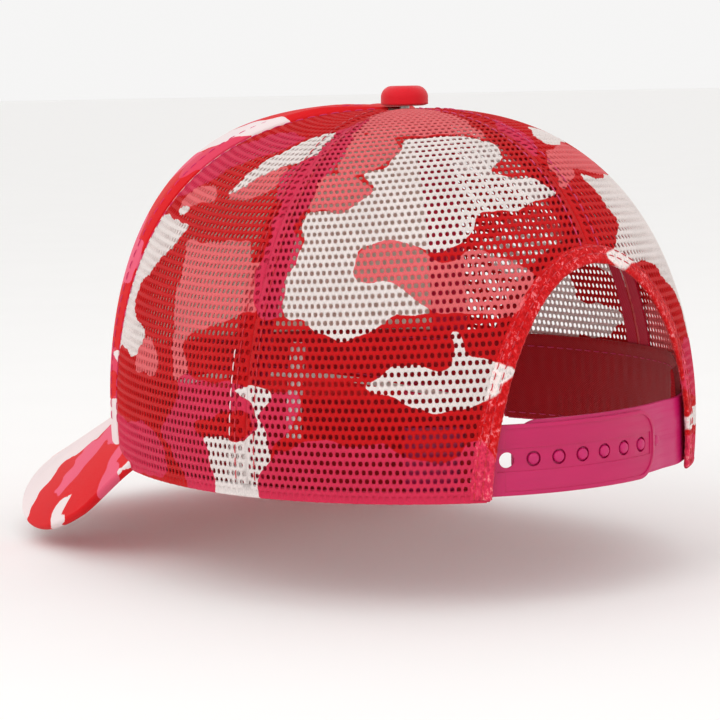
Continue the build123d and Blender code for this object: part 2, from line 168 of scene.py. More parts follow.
def f_at_height(az, z):
    az, z = np.broadcast_arrays(np.asarray(az, float), np.asarray(z, float))
    turn = np.arcsin(np.clip(z / CROWN_HEIGHT, 0, 1) ** (roundness(az) / 2))
    flat_az, flat_turn = np.mod(az, 360).ravel(), turn.ravel()
    i = np.minimum(flat_az.astype(int), 359)
    x = flat_az - i
    low = np.array([np.interp(t, TURN_OF_F[k], F_GRID) for k, t in zip(i, flat_turn)])
    high = np.array([np.interp(t, TURN_OF_F[k + 1], F_GRID) for k, t in zip(i, flat_turn)])
    return (low * (1 - x) + high * x).reshape(az.shape)


def f_top(az, radius=TOP_RADIUS):
    turn = np.arccos((radius / reach(az)) ** (roundness(az) / 2))
    z = meridian(az, turn)[1]
    return f_at_height(az, z)


def visor_top(x, y):
    """Height of the visor's top face."""
    curve = VISOR_RADIUS - np.sqrt(np.maximum(VISOR_RADIUS**2 - x * x, 1e-9))
    return VISOR_RISE + visor_slope * (HALF_FRONT + y) - curve


def visor_point(x, y, depth, outward=(0.0, 0.0)):
    """A point of the visor at a depth square to its curved face, moved along the face by an outward step."""
    side = np.arcsin(np.clip(x / VISOR_RADIUS, -1, 1))
    radius = VISOR_RADIUS - depth
    centre = VISOR_RISE + visor_slope * (HALF_FRONT + y + outward[1]) - VISOR_RADIUS
    px = radius * np.sin(side) + outward[0] * np.cos(side)
    pz = centre + radius * np.cos(side) - outward[0] * np.sin(side)
    return np.stack(np.broadcast_arrays(px, y + outward[1], pz), -1)


class Chart:
    """A panel laid out flat: u runs along the rows and v up the panel's middle, in metres."""

    def __init__(self, low, high):
        self.low, self.high = low, high
        self.middle = (low + high) / 2
        self.length = float(np.interp(self.middle % 360, AZ_GRID, LENGTH))
        self.azimuths = np.linspace(low - 12, high + 12, 241)

    def row(self, f):
        """Distances along one row for every azimuth of the chart."""
        p = crown(self.azimuths, np.full(241, f))
        u = np.concatenate([[0], np.cumsum(np.linalg.norm(np.diff(p, axis=0), axis=1))])
        return u - np.interp(self.middle, self.azimuths, u)

    def flat(self, az, f):
        """(u, v) of points given by azimuth and fraction."""
        az, f = np.broadcast_arrays(np.asarray(az, float), np.asarray(f, float))
        keys = np.round(f, 3)
        u = np.zeros(az.shape)
        for key in np.unique(keys):
            at = keys == key
            u[at] = np.interp(az[at], self.azimuths, self.row(key))
        return u, f * self.length


# ---------------------------------------------------------------- camouflage
# Each patch is a closed outline of (azimuth, height in millimetres), painted in order over red.

SIDE_PATCHES = [
    (ROSE, [(48, 80), (50, 92), (55, 98), (70, 101.5), (88, 100), (80, 96), (70, 92), (62, 87), (56, 83)]),
    (CORAL, [(58, 84), (62, 86), (70, 85), (74, 82), (66, 80), (60, 79.5)]),
    (WHITE, [(60, 79.5), (64, 80), (66, 78.5), (62, 77.5)]),
    (WHITE, [(78, 86.5), (82, 93.5), (88, 98), (95, 100.5), (108, 101.5), (109, 99), (103, 94.5),
             (98, 92.5), (92, 91), (86, 88.5), (80, 85), (78, 84.5)]),
    (CORAL, [(79, 84.5), (86, 88.5), (92, 91), (98, 91), (97, 87), (92, 83), (84, 82.5)]),
    (ROSE, [(97, 90), (103, 94.5), (109, 99), (109, 92), (104, 84), (100, 84)]),
    (CORAL, [(73, 70), (81, 70.5), (90, 70.5), (98, 71.5), (101, 66), (105, 64), (106, 53), (100, 50.5),
             (88, 44), (86, 41), (88, 32), (84, 31), (82, 38), (81, 47), (77.5, 54), (77.5, 62)]),
    (WHITE, [(44, 76), (52, 76.5), (60, 76.5), (69, 74), (68.5, 70), (63, 62), (58, 56), (58, 50),
             (63, 46), (68, 43.5), (68, 39), (64, 35.5), (54, 36.5), (44, 38)]),
    (CORAL, [(66, 38), (72, 41), (76, 36), (76, 31), (70, 30.5), (66, 32)]),
    (ROSE, [(45, 14), (60, 15), (70, 16), (78, 14), (82, 8), (80, 2), (60, -2), (45, -2)]),
    (ROSE, [(80, 16), (86, 24), (86, 31.5), (95, 32), (105, 31), (106, 27), (109, 27), (112, 30),
            (117, 31), (118.5, 24), (115, 19), (112, 14), (111, 6), (112, -2), (92, -2), (88, 4), (84, 10)]),
    (RED, [(92, 20), (98, 22), (106, 24), (108, 19), (103, 15), (97, 15), (93, 17)]),
    (WHITE, [(95, 16), (98, 16.5), (104, 15), (108, 18), (109.5, 22), (108, 25.5), (104, 28.5),
             (103.5, 30), (110, 31.5), (112, 29), (110, 24), (111, 18), (111.5, 10), (109.5, 4),
             (109, -2), (99, -2), (98, 6), (96, 12)]),
]
REAR_PATCHES = [
    (ROSE, [(105, 104), (112, 105), (125, 106.5), (125, 103), (118, 99), (117, 93), (116, 88), (121, 84),
            (121, 81.5), (113, 80), (111.5, 75), (114, 70), (113, 62), (112, 52), (106, 51), (104, 60),
            (104, 75), (104, 90)]),
    (CORAL, [(116, 101), (124, 101.5), (131, 100), (140, 100.5), (150, 100.8), (162, 100.5),
             (170, 99.5), (173, 102), (172, 106), (175, 107.95), (112, 107.95)]),
    (CORAL, [(117, 100), (131, 101), (137, 97), (134, 93), (130, 91), (122, 90), (118, 92)]),
    (CORAL, [(114, 80), (113, 86), (116, 90), (122, 90.5), (127, 88.5), (130, 85), (128, 82), (123, 80),
             (118, 80)]),
    (WHITE, [(134, 91.5), (137, 96.5), (140, 99.5), (150, 100.2), (158, 100), (164, 99.5), (170, 98.5),
             (173, 96.5), (172, 94.5), (168, 92.5), (165, 90.5), (168, 89), (175, 88), (181, 84.5),
             (181, 83), (172, 81), (168, 80), (159, 79.5), (155, 75.5), (150.5, 71), (146, 69.5),
             (141, 70.5), (136.5, 71.5), (130, 71), (128, 68), (128, 65), (130, 61.5), (137, 60),
             (142, 55.5), (143, 54), (141, 52), (136.5, 51.5), (132.5, 48), (127, 45.5), (123.5, 46),
             (121, 47), (117, 50), (113, 51.5), (112.5, 56), (113, 63), (114.5, 71), (113.5, 78.5),
             (116.5, 79.5), (123, 80), (127, 82.5), (130, 86), (129, 88.5), (127.5, 90.5)]),
    (CORAL, [(128, 68), (131, 71), (137, 71.7), (141, 70.5), (144, 68), (148, 66), (152, 69),
             (158, 67.5), (162, 66), (165, 62), (162, 57), (160, 53), (156, 51), (150, 52), (143, 54),
             (137, 60), (130, 61.5), (128, 65)]),
    (WHITE, [(131, 33), (135, 36.5), (140, 38.5), (144, 37.5), (147, 38.5), (148, 42), (147.5, 46.5),
             (149, 47), (150, 42), (152, 39.5), (156, 38.5), (158, 36), (156, 33), (155, 30), (152, 27),
             (147, 26), (141, 26.5), (137, 28.5), (134, 30.5)]),
    (ROSE, [(112, 12), (116, 15), (122, 17), (130, 16.5), (134, 17), (137, 13.5), (142, 12), (147, 13),
            (150, 17), (153, 14), (153, -2), (112, -2)]),
]
# The photographed cap's back seam leans over above the arch: here it runs straight up.
REAR_PATCHES = [
    (c, [(150 + (az - 150) * 0.86 if z > 66 and az > 150 else az, z) for az, z in ring])
    for c, ring in REAR_PATCHES
]
FAR_REAR_PATCHES = [
    (ROSE, [(178, 100), (182, 103), (190, 104.5), (186, 98), (181, 94)]),
    (CORAL, [(180, 86), (184, 93), (192, 96), (205, 96.8), (216, 93), (212, 87), (200, 88.5), (192, 90),
             (186, 87)]),
    (WHITE, [(190, 99), (200, 101.5), (212, 101), (216, 97.5), (204, 97), (194, 97)]),
    (WHITE, [(191, 88), (200, 87), (214, 87), (232, 85), (238, 70), (234, 53), (222, 44), (216, 47),
             (210, 52), (203, 59), (196, 62.5), (188, 62), (184, 66), (188, 69), (193, 74), (193, 82)]),
    (RED, [(192, 60), (198, 63), (203, 61), (203.5, 55), (200, 50), (194, 52)]),
    (ROSE, [(204, 36), (212, 38), (226, 35), (228, 24), (216, 20), (205, 24)]),
    (WHITE, [(206, 16.5), (226, 17), (236, 14), (226, 11.5), (206, 12)]),
    (ROSE, [(200, 10), (212, 9), (222, 5), (220, -3), (200, -3)]),
    (CORAL, [(228, 36), (240, 44), (256, 42), (256, 26), (240, 20), (230, 26)]),
]


def moved(patches, turn, lift=0.0):
    """The same patches carried round the crown, as the next part of the printed cloth."""
    return [(c, [(az + turn, z + lift) for az, z in ring]) for c, ring in patches]


PATCHES = {
    "side_left": SIDE_PATCHES + REAR_PATCHES,
    "rear_left": SIDE_PATCHES + REAR_PATCHES,
    "rear_right": moved(SIDE_PATCHES, 172, -6) + FAR_REAR_PATCHES,
    "side_right": moved(REAR_PATCHES, 128, 4) + moved(SIDE_PATCHES[6:10], 232, -12),
    "front": moved(REAR_PATCHES, -172, -2) + moved(SIDE_PATCHES, -56, 3),
}


def smooth_ring(points, parts=5):
    """A closed curve through the outline's corners."""
    p = np.array(points, float)
    a, b, c, d = np.roll(p, 1, 0), p, np.roll(p, -1, 0), np.roll(p, -2, 0)
    out = []
    for k in range(parts):
        t = k / parts
        squared = (2 * a - 5 * b + 4 * c - d) * t * t
        cubed = (3 * b - a - 3 * c + d) * t**3
        out.append(0.5 * ((2 * b) + (c - a) * t + squared + cubed))
    return np.stack(out, 1).reshape(-1, 2)


def signed_distance(u, v, ring):
    """Distance to a closed outline, positive inside."""
    a, b = ring, np.roll(ring, -1, 0)
    best = np.full(u.shape, 1e9)
    inside = np.zeros(u.shape, bool)
    for (ax, ay), (bx, by) in zip(a, b):
        dx, dy = bx - ax, by - ay
        length = dx * dx + dy * dy
        if length < 1e-14:
            continue
        t = np.clip(((u - ax) * dx + (v - ay) * dy) / length, 0, 1)
        best = np.minimum(best, (u - ax - t * dx) ** 2 + (v - ay - t * dy) ** 2)
        crosses = (ay > v) != (by > v)
        inside ^= crosses & (u < ax + (v - ay) / (dy if dy else 1e-12) * dx)
    return np.where(inside, 1, -1) * np.sqrt(best)


def camo_fields(u, v, rings):
    """Signed distances to the final red, coral, rose and white areas."""
    u = u + 0.0006 * np.sin(v / 0.0031) + 0.0004 * np.sin(v / 0.0013 + 2)
    v = v + 0.0006 * np.sin(u / 0.0037 + 1) + 0.0003 * np.sin(u / 0.0014)
    fields = np.full((4, len(u)), -1.0)
    fields[RED] = 1.0
    margin = 0.004
    for colour, ring in rings:
        near = (u > ring[:, 0].min() - margin) & (u < ring[:, 0].max() + margin)
        near &= (v > ring[:, 1].min() - margin) & (v < ring[:, 1].max() + margin)
        d = np.full(len(u), -1.0)
        d[near] = signed_distance(u[near], v[near], ring)
        for k in range(4):
            fields[k] = np.maximum(fields[k], d) if k == colour else np.minimum(fields[k], -d)
    return fields


CHARTS = {
    "side_left": Chart(FRONT_SEAM, SIDE_SEAM),
    "rear_left": Chart(SIDE_SEAM, BACK_SEAM),
    "rear_right": Chart(BACK_SEAM, 360 - SIDE_SEAM),
    "side_right": Chart(360 - SIDE_SEAM, 360 - FRONT_SEAM),
    "front": Chart(-FRONT_SEAM, FRONT_SEAM),
}


def flat_rings(panel):
    """A panel's patches in its flat chart."""
    rings = []
    for colour, points in PATCHES[panel]:
        p = np.array(points, float)
        f = f_at_height(p[:, 0], np.clip(p[:, 1], 0.2, 107.8) / 1000)
        u, v = CHARTS[panel].flat(p[:, 0], f)
        v = v + np.minimum(0, p[:, 1]) / 1000
        rings.append((colour, smooth_ring(np.stack([u, v], 1))))
    return rings


RINGS = {panel: flat_rings(panel) for panel in PATCHES}

# ---------------------------------------------------------------- making objects


def obj_from(name, verts, faces, smooth=True, sharp=None):
    mesh = bpy.data.meshes.new(name)
    mesh.from_pydata([tuple(map(float, v)) for v in verts], [], [tuple(map(int, f)) for f in faces])
    mesh.validate()
    obj = bpy.data.objects.new(name, mesh)
    bpy.context.scene.collection.objects.link(obj)
    if smooth:
        mesh.shade_smooth()
        if sharp:
            mesh.set_sharp_from_angle(angle=math.radians(sharp))
    return obj


def clean(obj, merge=2e-6):
    bm = bmesh.new()
    bm.from_mesh(obj.data)
    bmesh.ops.remove_doubles(bm, verts=bm.verts, dist=merge)
    bmesh.ops.dissolve_degenerate(bm, edges=bm.edges, dist=1e-7)
    loose = [v for v in bm.verts if not v.link_faces]
    bmesh.ops.delete(bm, geom=loose, context="VERTS")
    bmesh.ops.recalc_face_normals(bm, faces=bm.faces)
    bm.to_mesh(obj.data)
    bm.free()


def set_field(obj, name, values):
    layer = obj.data.attributes.new(name, "FLOAT", "POINT")
    layer.data.foreach_set("value", np.asarray(values, np.float32))


def paint(obj, panel):
    """Camouflage distances for every vertex of a piece of the crown."""
    co = np.zeros(len(obj.data.vertices) * 3, np.float32)
    obj.data.vertices.foreach_get("co", co)
    co = co.reshape(-1, 3).astype(float)
    r = np.hypot(co[:, 0], co[:, 1])
    az = np.degrees(np.arctan2(co[:, 0], -co[:, 1]))
    az = np.where(az < CHARTS[panel].low - 40, az + 360, az)
    turn = np.arctan2(
        (np.maximum(co[:, 2], 0) / CROWN_HEIGHT) ** (roundness(az) / 2),
        (r / reach(az)) ** (roundness(az) / 2),
    )
    index = np.mod(np.round(az), 360).astype(int)
    f = np.zeros(len(az))
    for k in np.unique(index):
        at = index == k
        f[at] = np.interp(turn[at], TURN_OF_F[k], F_GRID)
    u, v = CHARTS[panel].flat(az, f)
    v = v + np.minimum(0, co[:, 2])
    fields = camo_fields(u, v, RINGS[panel])
    for k, name in ((CORAL, "camo_coral"), (ROSE, "camo_rose"), (WHITE, "camo_white")):
        set_field(obj, name, fields[k] * 1000)
    set_field(obj, "flat_u", u * 1000)
    set_field(obj, "flat_v", v * 1000)


def slab(name, outer, inner, closed_u=False, sharp=50):
    """A closed shell between two grids of points."""
    n, m = outer.shape[:2]
    verts = np.concatenate([outer.reshape(-1, 3), inner.reshape(-1, 3)])
    off = n * m
    faces = []
    columns = m if closed_u else m - 1
    for i in range(n - 1):
        for j in range(columns):
            k = (j + 1) % m
            a, b, c, d = i * m + j, i * m + k, (i + 1) * m + k, (i + 1) * m + j
            faces.append((a, b, c, d))
            faces.append((off + d, off + c, off + b, off + a))
    for j in range(columns):
        k = (j + 1) % m
        faces.append((off + j, off + k, k, j))
        top = (n - 1) * m
        faces.append((top + j, top + k, off + top + k, off + top + j))
    if not closed_u:
        for i in range(n - 1):
            faces.append((i * m, (i + 1) * m, off + (i + 1) * m, off + i * m))
            e = m - 1
            faces.append((off + i * m + e, off + (i + 1) * m + e, (i + 1) * m + e, i * m + e))
    obj = obj_from(name, verts, faces, sharp=sharp)
    clean(obj, 1e-7)
    obj.data.shade_smooth()
    if sharp:
        obj.data.set_sharp_from_angle(angle=math.radians(sharp))
    return obj


def swept(name, grid):
    """A solid swept along the grid's rows from a closed section."""
    n, m = grid.shape[:2]
    faces = []
    for i in range(n - 1):
        for j in range(m):
            k = (j + 1) % m
            faces.append((i * m + j, i * m + k, (i + 1) * m + k, (i + 1) * m + j))
    faces.append(tuple(range(m)))
    faces.append(tuple((n - 1) * m + j for j in reversed(range(m))))
    obj = obj_from(name, grid.reshape(-1, 3), faces)
    clean(obj, 1e-7)
    obj.data.shade_smooth()
    return obj


# ---------------------------------------------------------------- materials


class Nodes:
    """Short calls for building a node material."""

    def __init__(self, name):
        self.material = bpy.data.materials.new(name)
        self.material.use_nodes = True
        self.tree = self.material.node_tree
        self.tree.nodes.clear()
        self.shader = self.add("ShaderNodeBsdfPrincipled")
        out = self.add("ShaderNodeOutputMaterial")
        self.link(self.shader.outputs[0], out.inputs[0])

    def add(self, kind, **settings):
        node = self.tree.nodes.new(kind)
        for key, value in settings.items():
            setattr(node, key, value)
        return node

    def link(self, a, b):
        self.tree.links.new(a, b)

    def put(self, socket, value):
        if isinstance(value, (int, float, tuple, list)):
            socket.default_value = value
        else:
            self.link(value, socket)

    def math(self, operation, a, b=0.0, c=0.0):
        node = self.add("ShaderNodeMath", operation=operation)
        for socket, value in zip(node.inputs, (a, b, c)):
            self.put(socket, value)
        return node.outputs[0]

    def position(self, scale=(1, 1, 1)):
        coord = self.add("ShaderNodeTexCoord")
        mapping = self.add("ShaderNodeMapping")
        self.link(coord.outputs["Object"], mapping.inputs[0])
        mapping.inputs["Scale"].default_value = scale
        return mapping.outputs[0]

    def attribute(self, name):
        return self.add("ShaderNodeAttribute", attribute_name=name).outputs["Fac"]

    def noise(self, scale, detail=2.0, vector=None, rough=0.5):
        node = self.add("ShaderNodeTexNoise")
        self.link(vector or self.position(), node.inputs["Vector"])
        node.inputs["Scale"].default_value = scale
        node.inputs["Detail"].default_value = detail
        node.inputs["Roughness"].default_value = rough
        return node.outputs["Fac"]

    def remap(self, value, low, high, to_low=0.0, to_high=1.0):
        node = self.add("ShaderNodeMapRange")
        ranges = (("From Min", low), ("From Max", high), ("To Min", to_low), ("To Max", to_high))
        for key, x in (("Value", value), *ranges):
            self.put(node.inputs[key], x)
        return node.outputs[0]

    def mix(self, amount, a, b, blend="MIX"):
        node = self.add("ShaderNodeMix", data_type="RGBA", blend_type=blend)
        self.put(node.inputs[0], amount)
        self.put(node.inputs[6], a)
        self.put(node.inputs[7], b)
        return node.outputs[2]

    def shade(self, colour, amount):
        """A colour made lighter or darker by a factor."""
        node = self.add("ShaderNodeHueSaturation")
        self.put(node.inputs["Value"], amount)
        self.put(node.inputs["Color"], colour)
        return node.outputs[0]

    def bump(self, height, distance, strength=1.0, normal=None):
        node = self.add("ShaderNodeBump")
        node.inputs["Distance"].default_value = distance
        node.inputs["Strength"].default_value = strength
        self.link(height, node.inputs["Height"])
        if normal:
            self.link(normal, node.inputs["Normal"])
        return node.outputs[0]

    def set(self, **values):
        names = {
            "color": "Base Color", "roughness": "Roughness", "normal": "Normal", "metallic": "Metallic",
            "sheen": "Sheen Weight", "sheen_roughness": "Sheen Roughness",
            "specular": "Specular IOR Level",
            "subsurface": "Subsurface Weight", "subsurface_scale": "Subsurface Scale",
        }
        for key, value in values.items():
            self.put(self.shader.inputs[names[key]], value)


def camo_colour(n, palette, edge=0.12):
    """The printed pattern, from the distances kept on the mesh."""
    wobble = n.math("MULTIPLY", n.math("SUBTRACT", n.noise(900, 1), 0.5), 0.5)
    colour = palette[RED]
    for k, name in ((CORAL, "camo_coral"), (ROSE, "camo_rose"), (WHITE, "camo_white")):
        at = n.math("ADD", n.attribute(name), wobble)
        colour = n.mix(n.remap(at, -edge, edge), colour, palette[k])
    return colour


def cloth_weave(n, pitch):
    """Height of a plain weave or knit in the flat chart, 0 to 1."""
    u, v = n.attribute("flat_u"), n.attribute("flat_v")
    turn = 2 * math.pi / pitch
    a = n.math("SINE", n.math("MULTIPLY", u, turn))
    b = n.math("SINE", n.math("MULTIPLY", v, turn))
    return n.math("MULTIPLY_ADD", n.math("MULTIPLY", a, b), 0.5, 0.5)


def mesh_material():
    """Knitted polyester mesh: matte threads of fine fibres, printed."""
    n = Nodes("printed_mesh")
    fibre = n.noise(2600, 3, n.position((1, 1, 0.55)), 0.7)
    strand = cloth_weave(n, 0.46)
    uneven = n.noise(60, 2)
    colour = camo_colour(n, THREAD, 0.1)
    value = n.math("MULTIPLY", n.remap(fibre, 0.3, 0.7, 0.84, 1.08), n.remap(strand, 0.1, 0.9, 0.9, 1.1))
    value = n.math("MULTIPLY", value, n.remap(uneven, 0.3, 0.7, 0.95, 1.04))
    n.set(color=n.shade(colour, value), roughness=n.remap(fibre, 0.3, 0.7, 0.66, 0.84), sheen=0.05,
          sheen_roughness=0.4, specular=0.22,
          normal=n.bump(strand, 0.00022, 0.8, n.bump(fibre, 0.00008, 0.9)))
    return n.material


def cloth_material(name, pitch=0.55):
    """Smooth printed polyester, closely woven."""
    n = Nodes(name)
    weave = cloth_weave(n, pitch)
    fibre = n.noise(3200, 3)
    uneven = n.noise(38, 3)
    colour = camo_colour(n, CLOTH, 0.07)
    value = n.math("MULTIPLY", n.remap(weave, 0, 1, 0.93, 1.03), n.remap(uneven, 0.3, 0.7, 0.96, 1.03))
    n.set(color=n.shade(colour, value), roughness=n.remap(fibre, 0.3, 0.7, 0.6, 0.76), sheen=0.04,
          sheen_roughness=0.35, specular=0.2,
          normal=n.bump(weave, 0.00006, 0.8, n.bump(fibre, 0.00003, 0.6)))
    return n.material


def plain_cloth(name, colour, pitch=0.0006, depth=0.00008, twill=False, fuzz=0.25, contrast=0.12, rough=0.75):
    """An unprinted woven cloth, its weave in the object's own coordinates."""
    n = Nodes(name)
    coord = n.position()
    split = n.add("ShaderNodeSeparateXYZ")
    n.link(coord, split.inputs[0])
    turn = 2 * math.pi / pitch
    flat = n.math("ADD", split.outputs[0], split.outputs[1])
    a = n.math("SINE", n.math("MULTIPLY", flat, turn * 0.8))
    b = n.math("SINE", n.math("MULTIPLY", split.outputs[2], turn))
    if twill:
        weave = n.math("SINE", n.math("MULTIPLY", n.math("ADD", flat, split.outputs[2]), turn))
        weave = n.math("MULTIPLY_ADD", weave, 0.5, 0.5)
    else:
        weave = n.math("MULTIPLY_ADD", n.math("MULTIPLY", a, b), 0.5, 0.5)
    fibre = n.noise(3000, 3)
    uneven = n.noise(45, 2)
    woven = n.remap(weave, 0, 1, 1 - contrast, 1.03)
    value = n.math("MULTIPLY", woven, n.remap(uneven, 0.3, 0.7, 0.94, 1.04))
    n.set(color=n.shade(colour, value), roughness=n.remap(fibre, 0.3, 0.7, rough - 0.08, rough + 0.08),
          sheen=fuzz, sheen_roughness=0.45, specular=0.25,
          normal=n.bump(weave, depth, 0.9, n.bump(fibre, 0.00004, 0.7)))
    return n.material


def fuzzy_camo():
    """The doubled mesh round the arch: dense, with loose ends and light specks."""
    n = Nodes("turned_mesh")
    speck = n.noise(1150, 3, n.position((1, 1, 0.6)), 0.7)
    clump = n.noise(260, 2)
    fibre = n.noise(2600, 3)
    colour = camo_colour(n, THREAD, 0.3)
    lift = n.math("MULTIPLY", n.remap(speck, 0.54, 0.62), n.remap(clump, 0.45, 0.62, 0.1, 0.7))
    colour = n.mix(lift, colour, linear(244, 150, 156))
    value = n.math("MULTIPLY", n.remap(speck, 0.32, 0.52, 0.6, 1.04), n.remap(clump, 0.3, 0.6, 0.86, 1.03))
    n.set(color=n.shade(colour, value), roughness=n.remap(fibre, 0.3, 0.7, 0.78, 0.92), sheen=0.08,
          sheen_roughness=0.5, specular=0.2, normal=n.bump(speck, 0.0004, 0.9, n.bump(fibre, 0.0001, 0.8)))
    return n.material


def foam_material():
    n = Nodes("laminated_foam")
    cells = n.noise(1500, 4, rough=0.75)
    soft = n.noise(90, 2)
    value = n.math("MULTIPLY", n.remap(cells, 0.3, 0.7, 0.9, 1.03), n.remap(soft, 0.3, 0.7, 0.96, 1.02))
    n.set(color=n.shade(linear(240, 226, 212), value), roughness=n.remap(cells, 0.3, 0.7, 0.8, 0.95),
          sheen=0.15, specular=0.15, normal=n.bump(cells, 0.00012, 0.8))
    return n.material


def plastic_material(name, colour, rough=0.36):
    """Moulded polyethylene: satin, with faint flow marks and handling scratches."""
    n = Nodes(name)
    grain = n.noise(1400, 3)
    flow = n.noise(70, 3, n.position((1, 1, 3.5)))
    scratch = n.noise(260, 2, n.position((0.25, 0.25, 5)))
    value = n.remap(flow, 0.3, 0.7, 0.96, 1.04)
    scuffed = n.remap(scratch, 0.45, 0.75, rough, rough + 0.16)
    roughness = n.math("ADD", scuffed, n.remap(grain, 0.3, 0.7, -0.03, 0.03))
    n.set(color=n.shade(colour, value), roughness=roughness, specular=0.45, subsurface=0.05,
          subsurface_scale=0.0008,
          normal=n.bump(grain, 0.00002, 0.5, n.bump(flow, 0.0001, 0.35)))
    return n.material


def metal_material(name):
    n = Nodes(name)
    brushed = n.noise(900, 3, n.position((1, 6, 1)))
    worn = n.noise(120, 2)
    n.set(color=n.shade(linear(196, 194, 190), n.remap(worn, 0.3, 0.7, 0.9, 1.05)), metallic=1.0,
          roughness=n.remap(brushed, 0.3, 0.7, 0.24, 0.42), normal=n.bump(brushed, 0.00002, 0.5))
    return n.material


def thread_material(name, colour):
    n = Nodes(name)
    twist = n.noise(2200, 2, n.position((1, 1, 1)))
    n.set(color=n.shade(colour, n.remap(twist, 0.3, 0.7, 0.85, 1.1)), roughness=0.55, sheen=0.3,
          specular=0.35, normal=n.bump(twist, 0.00006, 0.8))
    return n.material


MAT = {
    "mesh": mesh_material(),
    "cloth": cloth_material("printed_cloth"),
    "visor": cloth_material("printed_visor_cloth", 0.6),
    "turned": fuzzy_camo(),
    "tape": plain_cloth("seam_tape_weave", linear(208, 28, 66), 0.0009, 0.0001),
    "facing": plain_cloth("facing_weave", linear(176, 10, 26), 0.0011, 0.00014),
    "band": plain_cloth("sweatband_twill", linear(176, 8, 24), 0.0008, 0.00012, twill=True),
    "label": plain_cloth(
        "label_satin", linear(246, 242, 238), 0.0003, 0.00002, fuzz=0.1, contrast=0.04, rough=0.45
    ),
    "foam": foam_material(),
    "strap": plastic_material("strap_plastic", linear(192, 8, 88)),
    "strap_inner": plastic_material("strap_plastic_inner", linear(196, 16, 98)),
    "board": plastic_material("board_plastic", linear(232, 230, 224), 0.45),
    "button": plain_cloth("button_knit", linear(226, 12, 34), 0.00045, 0.00005, contrast=0.08, rough=0.65),
    "metal": metal_material("plated_steel"),
    "thread_red": thread_material("thread_red", linear(206, 14, 40)),
    "thread_rose": thread_material("thread_rose", linear(214, 40, 110)),
    "thread_white": thread_material("thread_white", linear(246, 226, 226)),
}


def finish_piece(obj, material, slot, *replaced, body="root"):
    obj.data.materials.clear()
    obj.data.materials.append(MAT[material])
    if body:
        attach(obj, body)
    if replaced:
        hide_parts(*replaced)
    return obj


# ---------------------------------------------------------------- the net

COLUMN, ROW = 0.0019, 0.0025
HOLE_HALF_WIDTH, HOLE_HALF_HEIGHT = 0.00061, 0.00073
NET_THICKNESS = 0.00055
HOLE = [(-0.72, -0.8), (0, -1), (0.72, -0.8), (1, 0), (0.72, 0.8), (0, 1), (-0.72, 0.8), (-1, 0)]


def groove(u, u_low, u_high, depth=0.0007, width=0.0016):
    """The cloth dips where it is sewn to its neighbour."""
    return -depth * (np.exp(-(((u - u_low) / width) ** 2)) + np.exp(-(((u_high - u) / width) ** 2)))


def ellipse_rho(p, grow=0.0):
    return np.hypot(p[..., 0] / (ARCH_HALF_WIDTH + grow), p[..., 2] / (ARCH_HEIGHT + grow))


def back_surface(x, z, out=0.0):
    """Points at the back of the crown with a given x and z."""
    x, z = np.broadcast_arrays(np.asarray(x, float), np.asarray(z, float))
    az = 180 - np.degrees(np.arcsin(np.clip(x / HALF_REAR, -1, 1)))
    height = np.clip(z, 0.0, CROWN_HEIGHT * 0.999)
    for _ in range(14):
        turn = np.arcsin((height / CROWN_HEIGHT) ** (roundness(az) / 2))
        r = meridian(az, turn)[0] + out
        az = 180 - np.degrees(np.arcsin(np.clip(x / r, -1, 1)))
    return np.stack([x, -r * np.cos(np.radians(az)), z], -1), az


